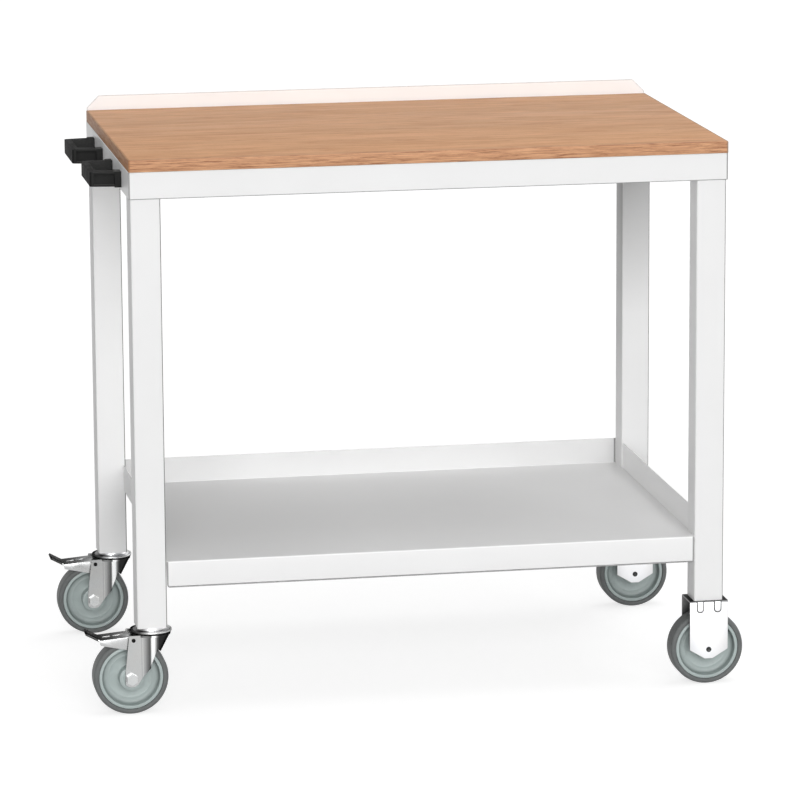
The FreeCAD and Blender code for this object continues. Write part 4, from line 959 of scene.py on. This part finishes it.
class TABLE_OT_frame(TableOperator, bpy.types.Operator):
    """Powder coated rails, upstand, legs and corner plates"""

    bl_idname = "table.frame"
    bl_label = "Frame"

    def execute(self, context):
        for name in ("front_rail", "rear_rail", "left_rail", "right_rail"):
            dress_node(name, "rail_paint")
        dress_node("upstand", "upstand_paint")
        for corner in SWIVEL_CORNERS + FIXED_CORNERS:
            make_leg(corner, self.sizes)
            dress_node(f"leg_plate_{corner}", "white_paint")
            dress_node(f"foot_insert_{corner}", "zinc")
        return {"FINISHED"}


def rounded_square(low, high, inset, radius, steps=5):
    """Corner points of a level square between two corners, drawn in and rounded."""
    reach = inset + radius
    corners = (
        (high.x - reach, high.y - reach, 0), (low.x + reach, high.y - reach, 90),
        (low.x + reach, low.y + reach, 180), (high.x - reach, low.y + reach, 270),
    )
    return [point for x, y, start in corners for point in arc((x, y), radius, start, start + 90, steps)]


def make_leg(corner, sizes):
    """Square tube with rolled corners."""
    low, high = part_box(f"leg_{corner}")
    outline = rounded_square(low, high, 0.0, sizes.leg_round)
    bore = rounded_square(low, high, sizes.leg_wall, sizes.leg_round - sizes.leg_wall)
    count = len(outline)
    loops = [(outline, low.z), (outline, high.z), (bore, high.z), (bore, low.z)]
    vertices = [(*point, level) for loop, level in loops for point in loop]
    faces = []
    for index in range(4):
        start = index * count
        after = (index + 1) % 4 * count
        for step in range(count):
            ahead = (step + 1) % count
            faces.append((start + step, start + ahead, after + ahead, after + step))
    piece = new_piece(f"{corner}_leg_tube", vertices, faces)
    finish_piece(piece, "table", "white_paint", [f"leg_{corner}"], "leg_paint", 40.0)


class TABLE_OT_screws(TableOperator, bpy.types.Operator):
    """Star screws under the worktop and behind the handles"""

    bl_idname = "table.screws"
    bl_label = "Screws"

    def execute(self, context):
        shape = screw_shape()
        for name, source, direction, radius, height, shank, reach in (
            ("corner_plate_screws", "leg_plate_screws", (0, 0, -1), 0.0055, 0.0040, 0.0030, 0.020),
            ("rail_screws", "worktop_screws", (0, 0, -1), 0.0040, 0.0025, 0.0020, 0.015),
            ("bow_handle_screws", "handle_screws", (1, 0, 0), 0.0050, 0.0030, 0.0030, 0.020),
        ):
            values = {
                "Head radius": radius, "Head height": height, "Shank radius": shank,
                "Shank length": reach, "Direction": direction,
            }
            piece = shape.run(name, values, screw_spots(source, direction, radius, height))
            finish_piece(piece, "table", "steel", [source])
        return {"FINISHED"}


def screw_spots(source, direction, radius, height):
    """Where the heads of a CAD node's screws sit, from its loose solids."""
    points = np.array([vertex.co[:] for vertex in NODES[source].data.vertices])
    axis = int(np.argmax(np.abs(direction)))
    across = [other for other in range(3) if other != axis]
    face = points[:, axis].max() if direction[axis] > 0 else points[:, axis].min()
    groups = []
    for point in points[np.abs(points[:, axis] - face) < 1e-5]:
        for group in groups:
            if np.hypot(*(point[across] - group[0])) < radius * 4:
                group.append(point[across])
                break
        else:
            groups.append([point[across]])
    spots = []
    for group in groups:
        spot = np.zeros(3)
        spot[across] = (np.min(group, axis=0) + np.max(group, axis=0)) / 2
        spot[axis] = face - direction[axis] * height
        spots.append(spot)
    return spots


class TABLE_OT_tray(TableOperator, bpy.types.Operator):
    """Folded tray between the legs"""

    bl_idname = "table.tray"
    bl_label = "Tray"

    def execute(self, context):
        low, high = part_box("shelf")
        lips_low, lips_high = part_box("shelf_lips")
        sheet = self.sizes.tray_sheet
        bend = self.sizes.tray_bend - sheet / 2
        level = high.z - sheet / 2
        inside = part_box("leg_front_right")[0].x
        flange_gap = 0.0008  # between the flange's ends and the legs
        wall_gap = 0.0003  # between a side wall's ends and its neighbours
        corner = 0.0060  # radius of the flange's lower corners
        fold_back = 0.012  # depth of the flange's return

        def ends(point):
            """The flange's lower corners are rounded; above them the tray reaches the legs."""
            y, z = point
            if y > low.y + 0.020 or z > high.z - 0.004:
                return -inside, inside
            drop = min(max(low.z + corner - z, 0.0), corner)
            end = inside - flange_gap - corner + math.sqrt(corner**2 - drop**2)
            return -end, end

        def side_ends(point):
            return lips_low.y + wall_gap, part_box("leg_rear_right")[0].y - wall_gap

        front, rear, bottom = low.y + sheet / 2, lips_high.y - sheet / 2, low.z + sheet / 2
        steps = [low.z + corner * share for share in (1.0, 0.62, 0.36)]
        path = [(rear, lips_high.z), (rear, level), (front, level), *((front, z) for z in steps)]
        path += [(front, bottom), (front + fold_back, bottom)]
        parts = [sweep("tray_main", sheet_section(path, sheet, bend), 0, ends)]
        for side in (-1, 1):
            wall = side * (lips_high.x - sheet / 2)
            section = sheet_section([(wall, lips_high.z), (wall, level), (side * inside, level)], sheet, bend)
            parts.append(sweep(f"tray_side_{side}", section, 1, side_ends))
        tray = join("folded_tray", parts)
        finish_piece(tray, "table", "white_paint", ["shelf", "shelf_lips"], "tray_paint", 32.0)
        return {"FINISHED"}


class TABLE_OT_handles(TableOperator, bpy.types.Operator):
    """Moulded bow handles"""

    bl_idname = "table.handles"
    bl_label = "Bow handles"

    def execute(self, context):
        for side in ("front", "rear"):
            piece = node_copy(f"bow_handle_{side}", f"handle_{side}")
            splay_arms(piece, self.sizes.handle_splay)
            soften(piece, self.sizes.plastic_round, 3, 40.0)
            mark_handle_shading(piece)
            finish_piece(piece, "table", "black_plastic", [f"handle_{side}"])
        return {"FINISHED"}


def splay_arms(piece, splay):
    """Lean a bow handle's arms outwards from its grip to the rail."""
    points = [vertex.co for vertex in piece.data.vertices]
    wall = max(point.x for point in points)
    grip = min(point.x for point in points) + HANDLE_GRIP
    middle = (min(point.y for point in points) + max(point.y for point in points)) / 2
    for point in points:
        share = max(point.x - grip, 0.0) / (wall - grip)
        point.y += math.copysign(splay * share, point.y - middle)


def mark_handle_shading(piece):
    """Store each face's painted light and shade on a bow handle: the grip's top dark, the top of its arm
    towards -Y light, inner sides lighter, recesses and faces towards -X dark.
    """
    points = np.array([vertex.co[:] for vertex in piece.data.vertices])
    low, high = points.min(axis=0), points.max(axis=0)
    middle = (low + high) / 2
    shades = []
    for face in piece.data.polygons:
        place, looks = face.center, face.normal
        on_grip = place.x < low[0] + HANDLE_GRIP
        outer = (place.y - middle[1]) * looks.y > 0
        top = 0.50 if on_grip else (3.8 if place.y < middle[1] else 1.1)
        side = 1.25 if outer else 2.0
        if outer and abs(place.y - middle[1]) < high[1] - middle[1] - HANDLE_ARM:
            side = 0.80
        end = 0.15 if looks.x < 0 else 1.0
        shades.append(looks.x**2 * end + looks.y**2 * side + looks.z**2 * (top if looks.z > 0 else 1.0))
    piece.data.attributes.new("wear", "FLOAT", "FACE").data.foreach_set("value", shades)


class TABLE_OT_wheels(TableOperator, bpy.types.Operator):
    """Tyres and wheel cores"""

    bl_idname = "table.wheels"
    bl_label = "Wheels"

    def execute(self, context):
        for corner in SWIVEL_CORNERS + FIXED_CORNERS:
            low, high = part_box(f"{corner}_tyre")
            centre = (low + high) / 2
            outline = tyre_profile((high.z - low.z) / 2, (high.y - low.y) / 2)
            tyre = lathe(f"{corner}_tread", outline, centre, (0, 1, 0), 120)
            finish_piece(tyre, f"{corner}_wheel", "grey_tyre", [f"{corner}_tyre"], smooth=28.0)
            low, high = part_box(f"{corner}_core")
            outline = core_profile((high.y - low.y) / 2)
            core = lathe(f"{corner}_wheel_core", outline, centre, (0, 1, 0), 120)
            mark_axle_distance(core, centre)
            finish_piece(core, f"{corner}_wheel", "grey_core", [f"{corner}_core"], smooth=28.0)
        return {"FINISHED"}


def mark_axle_distance(core, centre):
    """Store how far each point of a wheel core is from its axle."""
    mark = core.data.attributes.new("axle_distance", "FLOAT", "POINT")
    reach = [math.hypot(vertex.co.x - centre.x, vertex.co.z - centre.z) for vertex in core.data.vertices]
    mark.data.foreach_set("value", reach)


def mirrored(profile):
    """A profile and its mirror image on the other side of the wheel's middle plane."""
    return profile + [(radius, -height) for radius, height in reversed(profile)]


def tyre_profile(radius, half):
    """Outline of a tyre from its bore over the side and shoulder to the tread's middle."""
    bore = radius - 0.0090
    shoulder = 0.0055
    groove = radius - shoulder - 0.0006
    side = [
        (bore + 0.0001, half - 0.0022), (bore + 0.0006, half - 0.0006), (bore + 0.0014, half),
        (groove - 0.0005, half), (groove - 0.0002, half - 0.0003), (groove + 0.0002, half - 0.0003),
    ]
    curve = arc((radius - shoulder, half - shoulder), shoulder, 86, 8, 8)
    crown = [(radius - 0.00030, half * 0.62), (radius - 0.00012, half * 0.40), (radius, half * 0.16)]
    return mirrored(side + curve + crown)


def core_profile(hub_half):
    """Outline of a core from its bore over the hub, the disc's rings and the rim."""
    bore = 0.00756
    hub = [
        (bore, hub_half - 0.0006), (bore + 0.0006, hub_half), (0.0126, hub_half),
        (0.0132, hub_half - 0.0006), (0.0137, hub_half - 0.0006), (0.0143, hub_half),
        (0.0190, hub_half), (0.0197, hub_half - 0.0003), (0.0200, hub_half - 0.0012),
    ]
    disc = [
        (0.0203, 0.0064), (0.0212, 0.0052), (0.0226, 0.0046), (0.0350, 0.0045), (0.0357, 0.0047),
        (0.0366, 0.0049), (0.0375, 0.0048), (0.0383, 0.0046), (0.0420, 0.0047), (0.0440, 0.0052),
        (0.0456, 0.0061), (0.0468, 0.0074), (0.0475, 0.0092),
    ]
    rim = [
        (0.0478, 0.0112), (0.0480, 0.0152), (0.0484, 0.0161), (0.0490, 0.0165),
        (0.0526, 0.0165), (0.0532, 0.0162), (0.0535, 0.0155),
    ]
    return mirrored(hub + disc + rim)


class TABLE_OT_swivel_castors(TableOperator, bpy.types.Operator):
    """Zinc plated swivel heads, forks, axles and brake levers"""

    bl_idname = "table.swivel_castors"
    bl_label = "Swivel castors"

    def execute(self, context):
        ribs = tread_shape()
        for corner in SWIVEL_CORNERS:
            for part in ("kingpin", "swivel_washer", "axle_nut", "axle_sleeve"):
                dress_node(f"{corner}_{part}", "zinc")
            dress_node(f"{corner}_axle_bolt", "bolt_zinc")
            dress_node(f"{corner}_fork", "fork_zinc")
            make_brake_lever(corner, ribs, self.sizes.press_round)
            make_swivel_head(corner)
            dress_node(f"{corner}_lever_pins", "pin_zinc")
        dress_node("swivel_castor_bolts", "steel")
        return {"FINISHED"}


def make_brake_lever(corner, ribs, edge):
    """Pressed lever with a ribbed treadle, and the bright spring strip under its slots."""
    lever = node_copy(f"{corner}_pressed_lever", f"{corner}_brake_lever")
    soften(lever, edge, 2, 40.0)
    finish_piece(lever, f"{corner}_brake", "zinc", [f"{corner}_brake_lever"], "lever_zinc")

    tip = Vector((TREADLE_FOLD[0], middle_of(f"{corner}_brake_lever").y, TREADLE_FOLD[1]))
    low, high = tip + Vector((0.0050, -0.0080, -0.0035)), tip + Vector((0.0400, 0.0080, -0.0025))
    strip = slab(f"{corner}_spring_strip", low, high)
    tilt = Matrix.Rotation(LEVER_TILT, 4, "Y")
    strip.data.transform(Matrix.Translation(tip) @ tilt @ Matrix.Translation(-tip))
    soften(strip, 0.0003)
    finish_piece(strip, f"{corner}_brake", "zinc", [], "pale_strip")

    treadle = Vector((-0.020, 0.0, 0.012))  # from the fold to the treadle's edge
    first, step = 0.14, 0.152  # shares of the treadle
    tread = ribs.run(f"{corner}_treadle_ribs", {
        "Count": 6, "Start": tuple(tip + treadle * first), "Step": tuple(treadle * step),
        "Width": 0.0385, "Thickness": 0.0016,
    })
    # The ribs take dark zinc: a painted dark reflection on the treadle.
    finish_piece(tread, f"{corner}_brake", "zinc", [], "dark_zinc")


def make_swivel_head(corner):
    """A dust ring with a rolled lip, and the pale plate that the leg stands on; both carry painted dark and
    bright reflections.
    """
    low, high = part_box(f"{corner}_swivel_head")
    centre = Vector(((low.x + high.x) / 2, (low.y + high.y) / 2, low.z))
    rim = (high.x - low.x) / 2
    rise = high.z - low.z
    lip = [
        (rim - 0.0045, 0.0001), (rim - 0.0006, 0.0001), (rim - 0.0001, 0.0006), (rim, 0.0012),
        (rim, 0.0028), (rim - 0.0004, 0.0036), (rim - 0.0012, 0.0040), (rim - 0.0024, 0.0038),
        (rim - 0.0032, 0.0030), (rim - 0.0045, 0.0028),
    ]
    ring = lathe(f"{corner}_dust_ring", lip, centre, (0, 0, 1))
    finish_piece(ring, "table", "zinc", [f"{corner}_swivel_head"], "ring_zinc", 40.0)
    steps = [
        (0.0101, 0.0000), (0.0240, 0.0000), (0.0240, 0.0014), (0.0300, 0.0014), (0.0304, 0.0000),
        (rim - 0.0044, 0.0002), (rim - 0.0044, 0.0026), (rim - 0.0050, 0.0034), (0.0262, 0.0036),
        (0.0252, 0.0040), (0.0245, 0.0048), (0.0242, rise - 0.0004), (0.0238, rise), (0.0101, rise),
    ]
    plate = lathe(f"{corner}_head_plate", steps, centre, (0, 0, 1))
    finish_piece(plate, "table", "zinc", [], "plate_zinc", 40.0)


class TABLE_OT_ball_races(TableOperator, bpy.types.Operator):
    """Balls between the forks and their swivel heads"""

    bl_idname = "table.ball_races"
    bl_label = "Ball races"

    def execute(self, context):
        shape = ball_shape()
        for corner in SWIVEL_CORNERS:
            low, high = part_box(f"{corner}_swivel_balls")
            ball = (high.z - low.z) / 2
            circle = (high.x - low.x) / 2 - ball
            values = {"Count": 20, "Circle radius": circle, "Ball radius": ball, "Centre": (low + high) / 2}
            piece = shape.run(f"{corner}_race_balls", values)
            finish_piece(piece, f"{corner}_swivel", "steel", [f"{corner}_swivel_balls"])
        return {"FINISHED"}


class TABLE_OT_fixed_castors(TableOperator, bpy.types.Operator):
    """Pressed brackets and axles of the fixed castors"""

    bl_idname = "table.fixed_castors"
    bl_label = "Fixed castors"

    def execute(self, context):
        ribs = rib_shape()
        for corner in FIXED_CORNERS:
            make_bracket(corner, ribs, self.sizes.press_round)
        make_fixed_axles()
        for name in ("fixed_axle_sleeves", "fixed_spacers", "fixed_castor_bolts"):
            dress_node(name, "steel")
        return {"FINISHED"}


def make_bracket(corner, ribs, edge):
    """Sheet bent to an inverted U, its cheeks cut to a blunt point, with two pressed ribs."""
    blunt = 0.007  # half the width that the cheeks keep at their lower ends
    apart, below = 0.015, 0.0100  # a rib's middle, from the wheel's middle and from the top
    low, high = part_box(f"{corner}_bracket")
    middle = middle_of(f"{corner}_tyre")
    half = BRACKET_HALF - BRACKET_SHEET / 2
    left, right, level = middle.y - half, middle.y + half, high.z - BRACKET_SHEET / 2
    path = [(left, low.z), (left, level), (right, level), (right, low.z)]
    section = sheet_section(path, BRACKET_SHEET, 0.0025)
    piece = sweep(f"{corner}_pressed_bracket", section, 0, lambda point: (low.x, high.x))
    with editing(piece) as shape:
        for side, end in ((-1, low.x), (1, high.x)):
            start = Vector((end, 0, middle.z))
            along = Vector((middle.x + side * blunt, 0, low.z)) - start
            cut = bmesh.ops.bisect_plane(
                shape, geom=shape.verts[:] + shape.edges[:] + shape.faces[:], dist=1e-7,
                plane_co=start, plane_no=Vector((side * abs(along.z), 0, -abs(along.x))), clear_outer=True,
            )
            rim = [item for item in cut["geom_cut"] if isinstance(item, bmesh.types.BMEdge)]
            bmesh.ops.edgenet_fill(shape, edges=rim)
        bmesh.ops.recalc_face_normals(shape, faces=shape.faces)
    soften(piece, edge, 2, 50.0)
    finish_piece(piece, "table", "zinc", [f"{corner}_bracket"], "bracket_zinc")

    # Painted shade: the bracket's inner sides and the underside of its top take a dark zinc.
    piece.data.materials.append(MATERIALS["dull_zinc"])
    for face in piece.data.polygons:
        inward = (face.center.y - middle.y) * face.normal.y < 0 and abs(face.normal.y) > 0.5
        under = face.normal.z < -0.5 and face.center.z > high.z - BRACKET_SHEET - 0.002
        if inward or under:
            face.material_index = 1

    spots = [(middle.x + side * apart, middle.y - BRACKET_HALF, high.z - below) for side in (-1, 1)]
    # The wider, lower copy in dark zinc is a painted shadow rim round each rib.
    for name, wider, rise, finish in (
        ("ribs", 0.0, 0.0010, "bracket_zinc"),
        ("rib_roots", 0.0022, 0.0003, "dark_zinc"),
    ):
        rib = ribs.run(f"{corner}_pressed_{name}", {
            "Width": 0.0110 + wider, "Length": 0.0190 + wider, "Round": 0.0046 + wider / 2, "Rise": rise,
        }, spots)
        finish_piece(rib, "table", "zinc", [], finish, 25.0)


def make_fixed_axles():
    """Hollow rivets that carry the fixed wheels, with dished ends just proud of the cheeks."""
    low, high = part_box("fixed_axles")
    radius = (high.z - low.z) / 2
    half = BRACKET_HALF
    profile = mirrored([
        (0.0001, half + 0.0001), (0.0026, half + 0.0001), (0.0034, half + 0.0004),
        (0.0038, half + 0.0008), (radius - 0.0002, half + 0.0008), (radius, half + 0.0005),
        (radius, half - 0.0010),
    ])
    rivets = [
        lathe(f"{corner}_rivet", profile, middle_of(f"{corner}_tyre"), (0, 1, 0), 48)
        for corner in FIXED_CORNERS
    ]
    # The rivets take dark zinc: painted shade for their hollow ends.
    finish_piece(join("fixed_rivets", rivets), "table", "steel", ["fixed_axles"], "dark_zinc", 30.0)


# ---------------------------------------------------------------- stage


class TABLE_OT_stage(TableOperator, bpy.types.Operator):
    """Floor, room light, lamps and camera"""

    bl_idname = "table.stage"
    bl_label = "Stage"

    def execute(self, context):
        setup = context.scene.table_stage
        context.scene.view_settings.view_transform = "Standard"
        make_room(setup.sky_light)
        make_floor(setup.floor_size)
        for name, stands in (
            ("Front", (0.0, -1.0, 0.22)),
            ("Left", (-0.70, -0.65, 0.30)),
            ("Top", (0.2, 0.04, 0.96)),
            ("Side", (0.88, 0.47, 0.0)),
        ):
            hang_lamp(name, getattr(setup, f"{name.lower()}_light"), setup.lamp_spread, stands)
        lens = bpy.data.cameras.new("Camera")
        lens.lens = setup.camera_lens
        lens.sensor_width = 36.0
        lens.clip_start = 0.1
        lens.clip_end = 200.0
        camera = add_object("Camera", lens)
        camera.matrix_world = camera_matrix(setup.camera_at, setup.camera_turn)
        context.scene.camera = camera
        return {"FINISHED"}


def hang_lamp(name, strength, spread, stands):
    """A soft lamp far away, in the direction in which it stands."""
    lamp = bpy.data.lights.new(name, "SUN")
    lamp.energy = strength
    lamp.angle = spread
    add_object(name, lamp).rotation_euler = Vector(stands).to_track_quat("Z", "Y").to_euler()


def camera_matrix(at, turn):
    """Place of a camera that looks along +Y, then yaws right, pitches down and rolls."""
    yaw, pitch, roll = turn
    forward = Vector((math.sin(yaw) * math.cos(pitch), math.cos(yaw) * math.cos(pitch), -math.sin(pitch)))
    right = Vector((math.cos(yaw), -math.sin(yaw), 0.0))
    up = right.cross(forward)
    side = right * math.cos(roll) + up * math.sin(roll)
    top = up * math.cos(roll) - right * math.sin(roll)
    turned = Matrix((side, top, -forward)).transposed().to_4x4()
    return Matrix.Translation(Vector(at)) @ turned


WHITE = (1.0, 1.0, 1.0, 1.0)


def seen_or_mirrored(g):
    """1 on rays from the camera, in gloss and through glass."""
    path = g.add("ShaderNodeLightPath")
    rays = g.plus(path["Is Camera Ray"], path["Is Glossy Ray"], path["Is Transmission Ray"])
    return g.maths("MINIMUM", rays, 1.0)


def make_room(strength):
    """A white room: white where it is seen or mirrored, softer as a light."""
    world = bpy.data.worlds.new("Room")
    bpy.context.scene.world = world
    g = Graph(empty_tree(world))
    level = g.remap(seen_or_mirrored(g), 0.0, 1.0, strength, 1.0)
    light = g.add("ShaderNodeBackground", {"Color": WHITE, "Strength": level})
    g.add("ShaderNodeOutputWorld", {"Surface": light["Background"]})


def make_floor(size):
    """A white floor that keeps the table's shadow."""
    half = size / 2
    corners = [(-half, -half, 0), (half, -half, 0), (half, half, 0), (-half, half, 0)]
    floor = new_piece("floor", corners, [(0, 1, 2, 3)])
    material = bpy.data.materials.new("studio_floor")
    g = Graph(empty_tree(material))
    tint = g.layer(grey(0.49), grey(0.51), g.noise(2.0, 2.0), 0.3, 0.7)
    plain = g.add("ShaderNodeBsdfDiffuse", {"Color": tint})["BSDF"]
    level = g.times(seen_or_mirrored(g), 0.71)
    glow = g.add("ShaderNodeEmission", {"Color": WHITE, "Strength": level})["Emission"]
    both = g.add("ShaderNodeAddShader", {0: plain, 1: glow})
    g.add("ShaderNodeOutputMaterial", {"Surface": both["Shader"]})
    floor.data.materials.append(material)


# ---------------------------------------------------------------- add-on


class TABLE_PT_panel(bpy.types.Panel):
    """Sizes, finishes and build steps of the assembly table"""

    bl_idname = "TABLE_PT_panel"
    bl_label = "Assembly table"
    bl_space_type = "VIEW_3D"
    bl_region_type = "UI"
    bl_category = "Table"

    def draw(self, context):
        for group in GROUPS:
            settings = getattr(context.scene, group)
            for key in settings.bl_rna.properties.keys()[2:]:
                self.layout.prop(settings, key)
        for step in STEPS:
            self.layout.operator(step.bl_idname)


GROUPS = {"table_sizes": TableSizes, "table_finish": TableFinish, "table_stage": TableStage}

STEPS = (
    TABLE_OT_worktop,
    TABLE_OT_frame,
    TABLE_OT_screws,
    TABLE_OT_tray,
    TABLE_OT_handles,
    TABLE_OT_wheels,
    TABLE_OT_swivel_castors,
    TABLE_OT_ball_races,
    TABLE_OT_fixed_castors,
    TABLE_OT_stage,
)


def register():
    for name, group in GROUPS.items():
        bpy.utils.register_class(group)
        setattr(bpy.types.Scene, name, bpy.props.PointerProperty(type=group))
    for item in STEPS + (TABLE_PT_panel,):
        bpy.utils.register_class(item)


def unregister():
    for item in reversed(STEPS + (TABLE_PT_panel,)):
        bpy.utils.unregister_class(item)
    for name, group in reversed(GROUPS.items()):
        delattr(bpy.types.Scene, name)
        bpy.utils.unregister_class(group)


def main():
    register()
    make_materials(bpy.context.scene.table_finish)
    for step in STEPS:
        category, name = step.bl_idname.split(".")
        getattr(getattr(bpy.ops, category), name)()


if __name__ == "__main__":
    main()
